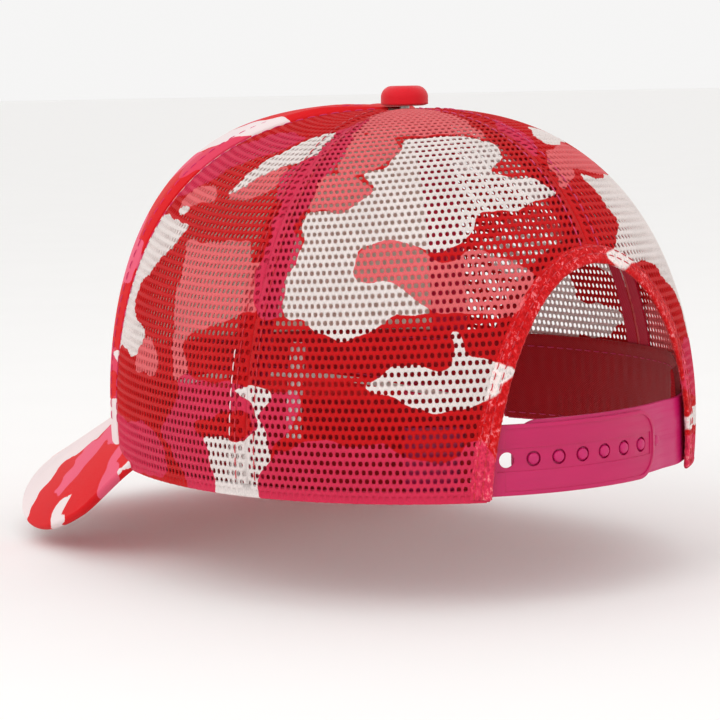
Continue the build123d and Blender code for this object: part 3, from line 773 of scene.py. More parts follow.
def net(name, panel, out=0.0, near=None, shift=0.0, arch=False, top=TOP_RADIUS, thickness=NET_THICKNESS):
    """A panel of knitted mesh: rows of staggered holes, cut at the panel's seams.
    near=(side, width) keeps only a strip beside one seam."""
    chart = CHARTS[panel]
    last_f = float(f_top(np.array([chart.middle]), top)[0])
    rows = int(last_f * chart.length / ROW)
    half = int(0.072 / COLUMN) * 2
    ks = np.arange(-half, half + 1)

    line_f = np.minimum((np.arange(rows + 1) * ROW) / chart.length, last_f)
    side_limits = np.zeros((rows + 1, 2))

    def place(f, u):
        table = chart.row(f)
        low, high = np.interp([chart.low, chart.high], chart.azimuths, table)
        v = np.clip(u, low, high)
        return np.interp(v, table, chart.azimuths), v, low, high

    def lift(points_az, f, u, low, high, level):
        return crown(points_az, np.full(len(points_az), f), out + level + groove(u, low, high))

    verts, top_faces, faces, index = [], [], [], 0
    levels = (0.00005, -0.00004, -thickness / 2, -thickness + 0.00004, -thickness - 0.00005)
    line_id = -np.ones((2, rows + 1, len(ks)), int)
    side_id = -np.ones((2, rows + 1, len(ks)), int)
    for j in range(rows + 1):
        u = ks * COLUMN / 2 + shift
        az, u, low, high = place(line_f[j], u)
        for layer, level in ((0, levels[0]), (1, levels[4])):
            p = lift(az, line_f[j], u, low, high, level)
            verts.append(p)
            line_id[layer, j] = index + np.arange(len(ks))
            index += len(ks)
        f_mid = min(line_f[j] + ROW / 2 / chart.length, last_f)
        az, u, low, high = place(f_mid, ks * COLUMN / 2 + shift)
        side_limits[j] = low, high
        for layer, level in ((0, levels[0]), (1, levels[4])):
            p = lift(az, f_mid, u, low, high, level)
            verts.append(p)
            side_id[layer, j] = index + np.arange(len(ks))
            index += len(ks)
    base = np.concatenate(verts)

    if arch:
        rho = ellipse_rho(base)
        inside = (rho < 1) & (base[:, 1] > 0)
        target = base[inside]
        grow = 1 / np.maximum(rho[inside], 0.05)
        moved_xz = target[:, [0, 2]] * grow[:, None]
        on_back, _ = back_surface(moved_xz[:, 0], moved_xz[:, 1])
        outward = np.stack([on_back[:, 0], on_back[:, 1], np.zeros(len(on_back))], 1)
        outward /= np.linalg.norm(outward, axis=1)[:, None]
        layer_of = np.zeros(len(base))
        for layer, level in ((0, levels[0]), (1, levels[4])):
            for ids in (line_id[layer], side_id[layer]):
                layer_of[ids.ravel()] = level
        base_rho = rho.copy()
        base[inside] = on_back + outward * (out + layer_of[inside])[:, None]
    under = np.zeros(len(base), bool)
    if panel.startswith("side") or panel == "front":
        floor = visor_top(base[:, 0], base[:, 1]) - 0.0004
        under = (base[:, 1] < VISOR_CORNER_Y) & (base[:, 2] < floor)
        az = np.degrees(np.arctan2(base[under, 0], -base[under, 1]))
        z = np.clip(floor[under], 0, 0.03)
        for _ in range(3):
            f = f_at_height(az, z)
            p = crown(az, f, out)
            z = np.clip(visor_top(p[:, 0], p[:, 1]) - 0.0004, 0, 0.03)
        base[under] = p

    extra = []
    for j in range(rows):
        f_centre = line_f[j] + ROW / 2 / chart.length
        if f_centre + 0.4 * ROW / chart.length > last_f:
            continue
        low, high = side_limits[j]
        parity = j % 2
        cells = np.arange(1 + (parity + half) % 2, len(ks) - 1, 2)
        centre = ks[cells] * COLUMN / 2 + shift
        keep = (centre + COLUMN / 2 > low + 0.0002) & (centre - COLUMN / 2 < high - 0.0002)
        if near:
            edge = low if near[0] == "low" else high
            keep &= np.abs(centre - edge) < near[1]
        cells, centre = cells[keep], centre[keep]
        if not len(cells):
            continue
        solid = (centre + HOLE_HALF_WIDTH * 1.25 > high) | (centre - HOLE_HALF_WIDTH * 1.25 < low)
        size = 1 + 0.05 * RNG.standard_normal(len(cells))
        drift = 0.00004 * RNG.standard_normal((2, len(cells)))
        hole_points = np.zeros((3, 8, len(cells), 3))
        for q, (hx, hy) in enumerate(HOLE):
            for ring, (grow, level) in enumerate(((1.2, levels[1]), (1.0, levels[2]), (1.2, levels[3]))):
                f = f_centre + (hy * HOLE_HALF_HEIGHT * grow) / chart.length
                table = chart.row(round(f, 5))
                lo, hi = np.interp([chart.low, chart.high], chart.azimuths, table)
                u = np.clip(centre + hx * HOLE_HALF_WIDTH * grow * size + drift[0], lo, hi)
                az = np.interp(u, table, chart.azimuths)
                hole_points[ring, q] = crown(az, np.full(len(az), f), out + level + groove(u, lo, hi))
        for c, cell in enumerate(cells):
            outer = [
                (0, j, cell - 1), (0, j, cell), (0, j, cell + 1), (1, j, cell + 1),
                (0, j + 1, cell + 1), (0, j + 1, cell), (0, j + 1, cell - 1), (1, j, cell - 1),
            ]
            up = [(line_id if kind == 0 else side_id)[0, row, col] for kind, row, col in outer]
            down = [(line_id if kind == 0 else side_id)[1, row, col] for kind, row, col in outer]
            if arch:
                inside_count = sum(base_rho[i] < 1 and base[i, 1] > 0 for i in up)
                if inside_count == 8:
                    continue
                rim = hole_points[0, :, c]
                if inside_count or np.any((ellipse_rho(rim) < 1.012) & (rim[:, 1] > 0)):
                    solid[c] = True
            if all(under[i] for i in up):
                continue
            if any(under[i] for i in up):
                solid[c] = True
            for k in range(8):
                top_faces.append((up[k], up[(k + 1) % 8], down[k], down[(k + 1) % 8]))
            if solid[c]:
                faces.append(tuple(up))
                faces.append(tuple(reversed(down)))
                continue
            ids = index + np.arange(24).reshape(3, 8)
            index += 24
            extra.append(hole_points[:, :, c].reshape(-1, 3))
            for k in range(8):
                m = (k + 1) % 8
                faces.append((up[k], up[m], ids[0, m], ids[0, k]))
                faces.append((ids[0, k], ids[0, m], ids[1, m], ids[1, k]))
                faces.append((ids[1, k], ids[1, m], ids[2, m], ids[2, k]))
                faces.append((ids[2, k], ids[2, m], down[m], down[k]))
    seen = {}
    for a, b, c, d in top_faces:
        key = (min(a, b), max(a, b))
        seen[key] = None if key in seen else (a, b, c, d)
    for wall in seen.values():
        if wall:
            a, b, c, d = wall
            faces.append((b, a, c, d))
    verts = np.concatenate([base] + extra)
    obj = obj_from(name, verts, faces)
    clean(obj, 1e-6)
    obj.data.shade_smooth()
    paint(obj, panel)
    return obj


PANELS = (
    ("side_left", "side_panel_left", False),
    ("rear_left", "rear_panel_left", True),
    ("rear_right", "rear_panel_right", True),
    ("side_right", "side_panel_right", False),
)
nets, allowances = {}, {}
for panel, node, arch in PANELS:
    nets[panel] = finish_piece(net(f"mesh_{panel}", panel, arch=arch), "mesh", "camo_mesh", node)
    strips = []
    for side, shift in (("low", 0.0005), ("high", -0.0005)):
        strips.append(
            net(f"allowance_{side}_{panel}", panel, -0.00072, (side, 0.0062), shift + COLUMN / 2, arch,
                0.012, 0.0004)
        )
    allowances[panel] = strips
    for strip in strips:
        finish_piece(strip, "mesh", "camo_mesh")

# ---------------------------------------------------------------- tapes, hems and the arch's edge


def seam_strip(name, az, half_width, low_f, high_f, out, thickness, rows=110, columns=7):
    """A tape laid along a seam."""
    f = np.linspace(low_f, high_f, rows)[:, None]
    across = np.linspace(-1, 1, columns)[None, :]
    r, _ = meridian(np.full_like(f, az), turn_at(np.full_like(f, az), f))
    spread = np.clip(np.degrees(half_width / np.maximum(r, 0.004)), 0, TAPE_SPREAD) * across
    wave = 0.00008 * np.sin(f * 170) * across
    edge = 0.00012 * across**8
    outer = crown(az + spread, np.broadcast_to(f, spread.shape), out + wave + edge)
    inner = crown(az + spread, np.broadcast_to(f, spread.shape), out + wave - thickness - edge)
    return slab(name, outer, inner)


SEAMS = (
    ("front_left", FRONT_SEAM), ("side_left", SIDE_SEAM), ("back", BACK_SEAM),
    ("side_right", 360 - SIDE_SEAM), ("front_right", 360 - FRONT_SEAM),
)
ARCH_TOP_F = float(f_at_height(np.array([180.0]), np.array([ARCH_HEIGHT + 0.0072]))[0])
tapes, TAPE_CUT = {}, {}
for name, az in SEAMS:
    low = ARCH_TOP_F if name == "back" else 0.004
    if name.startswith("front"):
        low = 0.03
    high = float(f_top(np.array([az]), 0.0085)[0])
    TAPE_CUT[name] = (2 * TAPE_HALF_WIDTH, (high - low) * float(np.interp(az, AZ_GRID, LENGTH)))
    tape = seam_strip(f"tape_{name}", az, TAPE_HALF_WIDTH, low, high, -0.00125, 0.0004)
    tapes[name] = finish_piece(tape, "tape", "tape", f"seam_tape_{name}")


def arch_strip(side, section, count=150):
    """A strip that follows the arch's edge. Each entry of section is (distance outwards, outset)."""
    angles = np.linspace(0.5, 90, count)
    rings = []
    for grow, out in section:
        a = np.radians(angles)
        x = side * (ARCH_HALF_WIDTH + grow) * np.cos(a)
        z = (ARCH_HEIGHT + grow) * np.sin(a)
        p, _ = back_surface(x, z)
        q, _ = back_surface(x, z, out)
        n = q - p
        length = np.linalg.norm(n, axis=1)
        n = np.where(length[:, None] > 1e-9, n / np.maximum(length[:, None], 1e-9) * abs(out), 0)
        rings.append(p + n)
    return np.stack(rings, 1)


def arch_tube(name, side, section, jitter=0.0, count=420):
    """A closed section swept round half of the arch."""
    grid = arch_strip(side, section, count)
    n, m = grid.shape[:2]
    if jitter:
        for i in range(n):
            for j in range(m):
                p = Vector(grid[i, j])
                w = noise.noise_vector(p * 900) + 0.7 * noise.noise_vector(p * 2100)
                grid[i, j] += np.array(w) * jitter
        grid[-1, :, 0] = 0
    return swept(name, grid)


EDGE_SECTION = [
    (0.0046, 0.00005), (0.0038, 0.00040), (0.0030, 0.00046), (0.0022, 0.00028), (0.0015, 0.00046),
    (0.0008, 0.00058), (0.0001, 0.00050), (-0.0005, 0.00005), (-0.0006, -0.0006), (-0.0003, -0.0012),
    (0.0006, -0.00150), (0.0020, -0.00145), (0.0034, -0.00140), (0.0046, -0.00110), (0.0048, -0.0004),
]
for name, side, panel in (("left", 1, "rear_left"), ("right", -1, "rear_right")):
    edge = arch_tube(f"arch_edge_{name}", side, EDGE_SECTION, 0.00016)
    paint(edge, panel)
    allowances[panel].append(finish_piece(edge, "turned", "camo_mesh"))
    facing = arch_tube(
        f"arch_facing_cloth_{name}", side,
        [(0.0030, -0.0014), (0.0068, -0.0013), (0.0070, -0.0016),
         (0.0066, -0.0019), (0.0030, -0.0020), (0.0024, -0.0017)],
        0.00005, 200,
    )
    allowances[panel].append(finish_piece(facing, "facing", "camo_mesh", f"arch_facing_{name}"))


def lower_hem(name, low, high, panel, count=260):
    """The mesh turned up inside at the lower edge."""
    section = [
        (0.0004, 0.00002), (0.0003, 0.00010), (0.0001, 0.00012), (-0.0001, 0.00006), (-0.0003, -0.0003),
        (-0.00025, -0.0009), (0.0006, -0.00125), (0.0030, -0.0013), (0.0034, -0.0010), (0.0030, -0.0007),
        (0.0034, -0.0004),
    ]
    az = np.linspace(low, high, count)
    rings = []
    for z, out in section:
        f = f_at_height(az, np.full(count, max(z, 0.0)))
        p = crown(az, f, 0.0)
        normal = np.stack([np.sin(np.radians(az)), -np.cos(np.radians(az)), np.zeros(count)], 1)
        p = p + normal * out
        p[:, 2] = np.maximum(z, p[:, 2] if z > 0 else z)
        front = p[:, 1] < VISOR_CORNER_Y
        raise_to = visor_top(p[:, 0], p[:, 1])
        p[:, 2] = np.where(front, np.maximum(p[:, 2], z + np.maximum(raise_to, 0)), p[:, 2])
        rings.append(p)
    grid = np.stack(rings, 1)
    n, m = grid.shape[:2]
    for i in range(n):
        for j in range(m):
            grid[i, j] += np.array(noise.noise_vector(Vector(grid[i, j]) * 800)) * 0.00008
    obj = swept(name, grid)
    paint(obj, panel)
    return finish_piece(obj, "mesh", "camo_mesh")


ARCH_END = 180 - math.degrees(math.asin(ARCH_HALF_WIDTH / HALF_WIDTH)) + 0.6
for panel, low, high in (
    ("side_left", 64, SIDE_SEAM), ("rear_left", SIDE_SEAM, ARCH_END),
    ("rear_right", 360 - ARCH_END, 360 - SIDE_SEAM), ("side_right", 360 - SIDE_SEAM, 296),
):
    allowances[panel].append(lower_hem(f"hem_{panel}", low, high, panel, 200))

# ---------------------------------------------------------------- front panel

FOAM_OUT, FRONT_CLOTH = 0.0010, 0.0006


def front_grid(out_fn, columns=150, rows=190, top=TOP_RADIUS):
    """Points of the front panel, its lower edge cut by the visor."""
    az = np.linspace(-FRONT_SEAM, FRONT_SEAM, columns)
    low = np.zeros(columns)
    for _ in range(4):
        p = crown(az, low, 0.001)
        z = np.maximum(visor_top(p[:, 0], p[:, 1]) + 0.0001, 0)
        low = f_at_height(az, z)
    high = f_top(az, top)
    t = np.linspace(0, 1, rows)[:, None]
    f = low[None, :] * (1 - t) + high[None, :] * t
    grid_az = np.broadcast_to(az[None, :], f.shape)
    return crown(grid_az, f, out_fn(grid_az, f)), grid_az, f


def edge_fade(az, f):
    """1 in the middle of the front panel, 0 at its sewn sides and under the button."""
    r = meridian(az, turn_at(az, f))[0]
    side = np.clip((FRONT_SEAM - np.abs(az)) / 4.5, 0, 1)
    top = np.clip((r - TOP_RADIUS) / 0.020, 0, 1)
    return np.sin(side * math.pi / 2) * (0.2 + 0.8 * top)


def front_outer(az, f):
    """The cloth's face, softly uneven as laminated foam is."""
    fade = edge_fade(az, f)
    soft = 0.00016 * np.sin(az / 5.5 + f * 3) * np.sin(f * 11 + 1) + 0.0001 * np.sin(az / 2.1 + f * 21)
    return fade * (FOAM_OUT + FRONT_CLOTH + soft) + (1 - fade) * 0.00005


outer, grid_az, _ = front_grid(front_outer)
inner, _, _ = front_grid(lambda az, f: front_outer(az, f) - FRONT_CLOTH * 0.9)
front_cloth = slab("front_cloth", outer, inner)
paint(front_cloth, "front")
finish_piece(front_cloth, "cloth", "camo_cloth", "front_panel_cloth")

foam_outer, _, _ = front_grid(lambda az, f: front_outer(az, f) - FRONT_CLOTH * 0.9 - 0.00003, 110, 130)


def foam_inner_out(az, f):
    fade = edge_fade(az, f)
    ripple = 0.00025 * np.sin(az / 3.1 + 2 * np.sin(f * 7)) * np.sin(f * 13)
    return -0.0011 - 0.0005 * fade + fade * ripple


foam_inner, _, _ = front_grid(foam_inner_out, 110, 130)
foam = slab("front_foam", foam_outer, foam_inner)
finish_piece(foam, "foam", "foam", "front_panel_foam")

# ---------------------------------------------------------------- sweatband

BAND_HEIGHT = 0.030
BAND_END = 180 - math.degrees(math.asin((ARCH_HALF_WIDTH + 0.001) / HALF_WIDTH))


def band_inset(az):
    ramp = np.clip((np.abs(az) - 119) / 18, 0, 1)
    return 0.0017 + (0.0045 - 0.0017) * ramp * ramp * (3 - 2 * ramp)


def band_grid(depth_fn, columns=420, rows=36, low_z=0.0003, high_z=BAND_HEIGHT):
    az = np.linspace(-BAND_END, BAND_END, columns)
    p0 = crown(az, np.zeros(columns), -band_inset(az))
    low = np.where(np.abs(az) < 64, np.maximum(visor_top(p0[:, 0], p0[:, 1]) + 0.0002, low_z), low_z)
    rows_out = []
    for t in np.linspace(0, 1, rows):
        z = low + (high_z - low) * t
        f = f_at_height(az, z)
        rows_out.append(crown(az, f, -band_inset(az) - depth_fn(az, t)))
    return np.stack(rows_out, 0)


def band_face(az, t):
    """The inner face: puffed between its stitched lower edge and its turned top."""
    puff = np.sin(np.clip((t - 0.04) / 0.80, 0, 1) * math.pi) ** 0.6 if 0.04 < t < 0.84 else 0.0
    fold = 0.35 + 0.65 * min(1.0, (1 - t) / 0.04 + 0.25) if t > 0.9 else 1.0
    crease = 0.0001 * np.sin(az * 1.9 + 3 * np.sin(az / 7)) * np.sin(t * 7)
    return fold * (0.0011 + 0.0007 * puff + crease)


band = slab("sweatband_cloth", band_grid(lambda az, t: 0.00004 if t < 0.96 else 0.0003), band_grid(band_face))
finish_piece(band, "band", "sweatband", "sweatband")

# ---------------------------------------------------------------- stitches


# Along the stitch: how far, how high above the cloth and how thick, in thread radii.
STITCH_PROFILE = (
    (0, -0.6, 0.5), (0.14, 0.2, 0.9), (0.38, 0.55, 1), (0.62, 0.55, 1), (0.86, 0.2, 0.9), (1, -0.6, 0.5),
)


def capsule(bm, a, b, normal, radius):
    """One stitch: a thread that dips into the cloth at both ends."""
    a, b, normal = Vector(a), Vector(b), Vector(normal)
    along = (b - a).normalized()
    side = along.cross(normal).normalized()
    rings = []
    for t, lift, r in STITCH_PROFILE:
        centre = a.lerp(b, t) + normal * radius * lift
        ring = []
        for q in range(6):
            angle = q * math.pi / 3
            spoke = side * math.cos(angle) + normal * math.sin(angle)
            ring.append(bm.verts.new(centre + spoke * radius * r))
        rings.append(ring)
    for low, high in zip(rings, rings[1:]):
        for q in range(6):
            bm.faces.new((low[q], low[(q + 1) % 6], high[(q + 1) % 6], high[q]))
    bm.faces.new(list(reversed(rings[0])))
    bm.faces.new(rings[-1])


def stitch_row(name, points, normals, material, slot, length=0.0026, gap=0.0011, radius=0.00017, body="root"):
    """A run of stitches along a line on the surface."""
    points, normals = np.asarray(points), np.asarray(normals)
    s = np.concatenate([[0], np.cumsum(np.linalg.norm(np.diff(points, axis=0), axis=1))])
    bm = bmesh.new()
    at = 0.0
    while at + length < s[-1]:
        a = [np.interp(at, s, points[:, k]) for k in range(3)]
        b = [np.interp(at + length, s, points[:, k]) for k in range(3)]
        n = Vector([np.interp(at + length / 2, s, normals[:, k]) for k in range(3)]).normalized()
        capsule(bm, a, b, n, radius)
        at += length + gap
    mesh = bpy.data.meshes.new(name)
    bm.to_mesh(mesh)
    bm.free()
    obj = bpy.data.objects.new(name, mesh)
    bpy.context.scene.collection.objects.link(obj)
    mesh.shade_smooth()
    return finish_piece(obj, material, slot, body=body)


def crown_line(az, f, out):
    p = crown(az, f, out)
    q = crown(az, f, out + 0.001)
    return p, (q - p) / 0.001


def seam_stitches(name, az, offset, material, out, low_f, high_f):
    f = np.linspace(low_f, high_f, 160)
    r = meridian(np.full(160, az), turn_at(np.full(160, az), f))[0]
    line_az = az + np.degrees(offset / np.maximum(r, 0.004))
    p, n = crown_line(line_az, f, out)
    return stitch_row(name, p, n, material, "camo_mesh")


for name, az in SEAMS:
    low = ARCH_TOP_F - 0.02 if name == "back" else 0.03
    if name.startswith("front"):
        low = 0.075
    high = float(f_top(np.array([az]), 0.010)[0])
    thread = "thread_rose" if name != "side_left" else "thread_red"
    for k, offset in (("a", -0.0034), ("b", 0.0034)):
        on_cloth = name.startswith("front") and ((offset < 0) == (name == "front_left"))
        out = 0.00135 if on_cloth else 0.00016
        seam_stitches(f"stitches_{name}_{k}", az, offset, thread, out, low, high)

low, high = f_at_height(np.full(2, SIDE_SEAM), np.array([0.017, 0.044]))
seam_stitches("stitches_label", SIDE_SEAM, -0.0054, "thread_white", 0.00018, low, high)
for name, side in (("left", 1), ("right", -1)):
    for k, grow in (("a", 0.0022), ("b", 0.0042)):
        grid = arch_strip(side, [(grow, 0.0004), (grow, 0.0014)], 160)
        p, n = grid[:, 0], (grid[:, 1] - grid[:, 0]) / 0.001
        stitch_row(f"stitches_arch_{name}_{k}", p, n, "thread_red", "camo_mesh", 0.0022, 0.0009)

for k, t in (("low", 0.055), ("high", 0.86)):
    az = np.linspace(-BAND_END + 1, BAND_END - 1, 500)
    low = band_grid(band_face, 500)
    row = int(round(t * 35))
    p = low[row]
    inward = -np.stack([p[:, 0], p[:, 1], np.zeros(500)], 1)
    inward /= np.linalg.norm(inward, axis=1)[:, None]
    stitch_row(f"stitches_band_{k}", p + inward * 0.0001, inward, "thread_rose", "sweatband", 0.0028, 0.0013)

# ---------------------------------------------------------------- care label

LABEL_CUT = (0.010, 0.027)
fold = np.concatenate([np.linspace(0, 1, 10), np.linspace(1, 0, 10)])
depth = np.concatenate([np.zeros(10), np.full(10, 0.00032)])
depth[9], depth[10] = 0.00006, 0.00026


def label_face(extra):
    rows = []
    for t in np.linspace(0, 1, 46):
        z = 0.0175 + LABEL_CUT[1] * t
        az = 115.2 + 3.25 * fold
        curl = 0.00012 * np.sin(t * 5 + fold)
        out = -0.00112 - depth + curl - extra * np.sign(9.5 - np.arange(20))
        rows.append(crown(az, f_at_height(az, np.full(20, z)), out))
    return np.stack(rows, 0)


label = slab("care_label_satin", label_face(-0.00004), label_face(0.00004))
finish_piece(label, "label", "label", "care_label")

# ---------------------------------------------------------------- snap strap

SNAP_PITCH, SNAP_COUNT, FIRST_HOLE = 0.008, 7, 0.0035
STRAP_LOW, PEG_RISE = 0.001, 0.0008


class StrapLine:
    """The strap's middle line in plan, by distance from its hinge towards its tip."""

    def __init__(self, side, inset_fn):
        xs = np.linspace(TAB_END_X, -0.045, 3000)
        inset = inset_fn(xs) + STRAP_THICKNESS / 2
        ys = (HALF_REAR - inset) * np.sqrt(1 - (xs / (HALF_WIDTH - inset)) ** 2)
        s = np.concatenate([[0], np.cumsum(np.hypot(np.diff(xs), np.diff(ys)))])
        self.s = s - np.interp(-HINGE_X, -xs, s)
        self.side = side
        self.x, self.y = side * xs, ys
        tx, ty = np.gradient(self.x), np.gradient(self.y)
        length = np.hypot(tx, ty)
        self.nx, self.ny = ty / length * -side * -1, -tx / length * -side * -1
        flip = np.sign(self.nx * self.x + self.ny * self.y)
        self.nx, self.ny = self.nx * flip, self.ny * flip
        self.start = self.s[0]

    def at(self, d, depth, z):
        """A point at a distance, a depth behind the outer face and a height."""
        x, y = np.interp(d, self.s, self.x), np.interp(d, self.s, self.y)
        nx, ny = np.interp(d, self.s, self.nx), np.interp(d, self.s, self.ny)
        out = STRAP_THICKNESS / 2 - depth
        return np.stack([x + nx * out, y + ny * out, np.broadcast_to(z, x.shape)], -1)


def peg_inset(x):
    ramp = np.clip((HINGE_X - x) / 0.012, 0, 1)
    return STRAP_INSET + (STRAP_THICKNESS + STRAP_GAP) * ramp * ramp * (3 - 2 * ramp)


hole_line = StrapLine(1, lambda x: np.full(x.shape, STRAP_INSET))
peg_line = StrapLine(-1, peg_inset)


def outline(start, end, low, height, radius, inset=0.0, round_start=0.0):
    """A strip's outline with a rounded far end, drawn in by an inset."""
    points = []
    x0, x1, z0, z1 = start + inset, end - inset, low + inset, low + height - inset
    r = max(radius - inset, 0.0002)
    for cx, cz, a0 in ((x1 - r, z0 + r, -90), (x1 - r, z1 - r, 0)):
        for k in range(13):
            a = math.radians(a0 + 90 * k / 12)
            points.append((cx + r * math.cos(a), cz + r * math.sin(a)))
    q = max(round_start, 0.0001)
    for cx, cz, a0 in ((x0 + q, z1 - q, 90), (x0 + q, z0 + q, 180)):
        for k in range(5):
            a = math.radians(a0 + 90 * k / 4)
            points.append((cx + q * math.cos(a), cz + q * math.sin(a)))
    return points


def prism(points, depth0, depth1):
    """A flat solid: distance and height in the plane, depth along Y."""
    n = len(points)
    verts = [(x, depth0, z) for x, z in points] + [(x, depth1, z) for x, z in points]
    faces = [tuple(range(n)), tuple(reversed(range(n, 2 * n)))]
    faces += [(i, i + n, (i + 1) % n + n, (i + 1) % n) for i in range(n)]
    obj = obj_from("cutter", verts, faces, smooth=False)
    clean(obj, 1e-8)
    return obj


def circle(cx, cz, r, n=36):
    angles = [2 * math.pi * k / n for k in range(n)]
    return [(cx + r * math.cos(a), cz + r * math.sin(a)) for a in angles]


def applied(obj):
    """The object's mesh with its modifiers applied."""
    depsgraph = bpy.context.evaluated_depsgraph_get()
    mesh = bpy.data.meshes.new_from_object(obj.evaluated_get(depsgraph))
    old = obj.data
    obj.modifiers.clear()
    obj.data = mesh
    bpy.data.meshes.remove(old)
    return obj


def cut(obj, tool, operation="DIFFERENCE"):
    modifier = obj.modifiers.new("cut", "BOOLEAN")
    modifier.operation = operation
    modifier.solver = "EXACT"
    modifier.object = tool
    applied(obj)
    mesh = tool.data
    bpy.data.objects.remove(tool)
    bpy.data.meshes.remove(mesh)


def bend_strap(obj, line, step=0.0015):
    """Cuts a flat strap across its length often enough to bend it, then wraps it on its line."""
    bm = bmesh.new()
    bm.from_mesh(obj.data)
    xs = [v.co.x for v in bm.verts]
    at = min(xs) + step
    while at < max(xs):
        geom = list(bm.verts) + list(bm.edges) + list(bm.faces)
        bmesh.ops.bisect_plane(bm, geom=geom, dist=1e-8, plane_co=(at, 0, 0), plane_no=(1, 0, 0))
        at += step
    bmesh.ops.triangulate(bm, faces=[f for f in bm.faces if len(f.verts) > 4])
    co = np.array([v.co for v in bm.verts])
    new = line.at(co[:, 0], co[:, 1], co[:, 2])
    for v, p in zip(bm.verts, new):
        v.co = p
    bmesh.ops.recalc_face_normals(bm, faces=bm.faces)
    bm.to_mesh(obj.data)
    bm.free()
    obj.data.shade_smooth()
    obj.data.set_sharp_from_angle(angle=math.radians(38))


def dome(bm, line, d, z, radius, height, sink=0.0004):
    """A snap's peg standing out of the strap's face."""
    profile = [
        (1.0, -sink), (1.0, height * 0.42), (0.97, height * 0.62), (0.86, height * 0.82),
        (0.62, height * 0.95), (0.3, height),
    ]
    rings = []
    for r, h in profile:
        ring = []
        for k in range(28):
            a = 2 * math.pi * k / 28
            along = np.array([d + radius * r * math.cos(a)])
            p = line.at(along, np.array([-h]), z + radius * r * math.sin(a))[0]
            ring.append(bm.verts.new(p))
        rings.append(ring)
    for low, high in zip(rings, rings[1:]):
        for k in range(28):
            bm.faces.new((low[k], low[(k + 1) % 28], high[(k + 1) % 28], high[k]))
    bm.faces.new(rings[-1])
    bm.faces.new(list(reversed(rings[0])))


RIM, STRAP_CORNER = 0.0011, 0.008
middle = STRAP_LOW + STRAP_WIDTH / 2
holes = [FIRST_HOLE + SNAP_PITCH * k for k in range(SNAP_COUNT)]
pegs = [FIRST_HOLE + SNAP_PITCH * (k + 1) for k in range(SNAP_COUNT)]
hole_tip = holes[-1] + 0.0065
peg_tip_x = float(np.interp(pegs[0] - 0.0053, hole_line.s, hole_line.x))
peg_tip = float(np.interp(peg_tip_x, peg_line.x, peg_line.s))

hole_outline = outline(hole_line.start, hole_tip, STRAP_LOW, STRAP_WIDTH, STRAP_CORNER)
hole_strap = prism(hole_outline, 0, STRAP_THICKNESS)
cut(hole_strap, prism(outline(0.0016, hole_tip, STRAP_LOW, STRAP_WIDTH, STRAP_CORNER, RIM), -0.001, 0.00040))
cut(hole_strap, prism(outline(0.0004, hole_tip - 0.0019, middle - 0.0033, 0.0066, 0.0005), -0.001, 0.00072))
for d in holes:
    cut(hole_strap, prism(circle(d, middle, 0.0022), -0.001, 0.003))
bevel = hole_strap.modifiers.new("bevel", "BEVEL")
bevel.width, bevel.segments, bevel.limit_method, bevel.angle_limit = 0.00009, 2, "ANGLE", math.radians(40)
applied(hole_strap)
hole_strap.name = "snap_strap_with_holes"
bend_strap(hole_strap, hole_line)
finish_piece(hole_strap, "strap", "strap_plastic", "hole_strap", "hole_strap_tab", body=None)

peg_outline = outline(peg_line.start, peg_tip, STRAP_LOW + PEG_RISE, STRAP_WIDTH, STRAP_CORNER)
peg_strap = prism(peg_outline, 0, STRAP_THICKNESS)
bevel = peg_strap.modifiers.new("bevel", "BEVEL")
bevel.width, bevel.segments, bevel.limit_method, bevel.angle_limit = 0.00018, 2, "ANGLE", math.radians(40)
applied(peg_strap)
bend_strap(peg_strap, peg_line)
bm = bmesh.new()
bm.from_mesh(peg_strap.data)
for d in pegs:
    x = np.interp(d, hole_line.s, hole_line.x)
    if d < hole_tip:
        # A peg in a hole stands on that hole's own normal.
        x -= (STRAP_THICKNESS + STRAP_GAP) * np.interp(d, hole_line.s, hole_line.nx)
    on_peg_line = float(np.interp(x, peg_line.x, peg_line.s))
    dome(bm, peg_line, on_peg_line, middle, 0.00165, 0.0015)
bm.to_mesh(peg_strap.data)
bm.free()
peg_strap.data.shade_smooth()
peg_strap.data.set_sharp_from_angle(angle=math.radians(38))
peg_strap.name = "snap_strap_with_pegs"
finish_piece(peg_strap, "strap_inner", "strap_plastic", "peg_strap", "peg_strap_tab", body=None)
for strap, line, body in ((hole_strap, hole_line, "hole_strap"), (peg_strap, peg_line, "peg_strap")):
    a = line.at(np.array([-0.005]), np.array([0.0006]), 0.011)[0]
    b = line.at(np.array([0.005]), np.array([0.0006]), 0.011)[0]
    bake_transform(strap)

# ---------------------------------------------------------------- visor

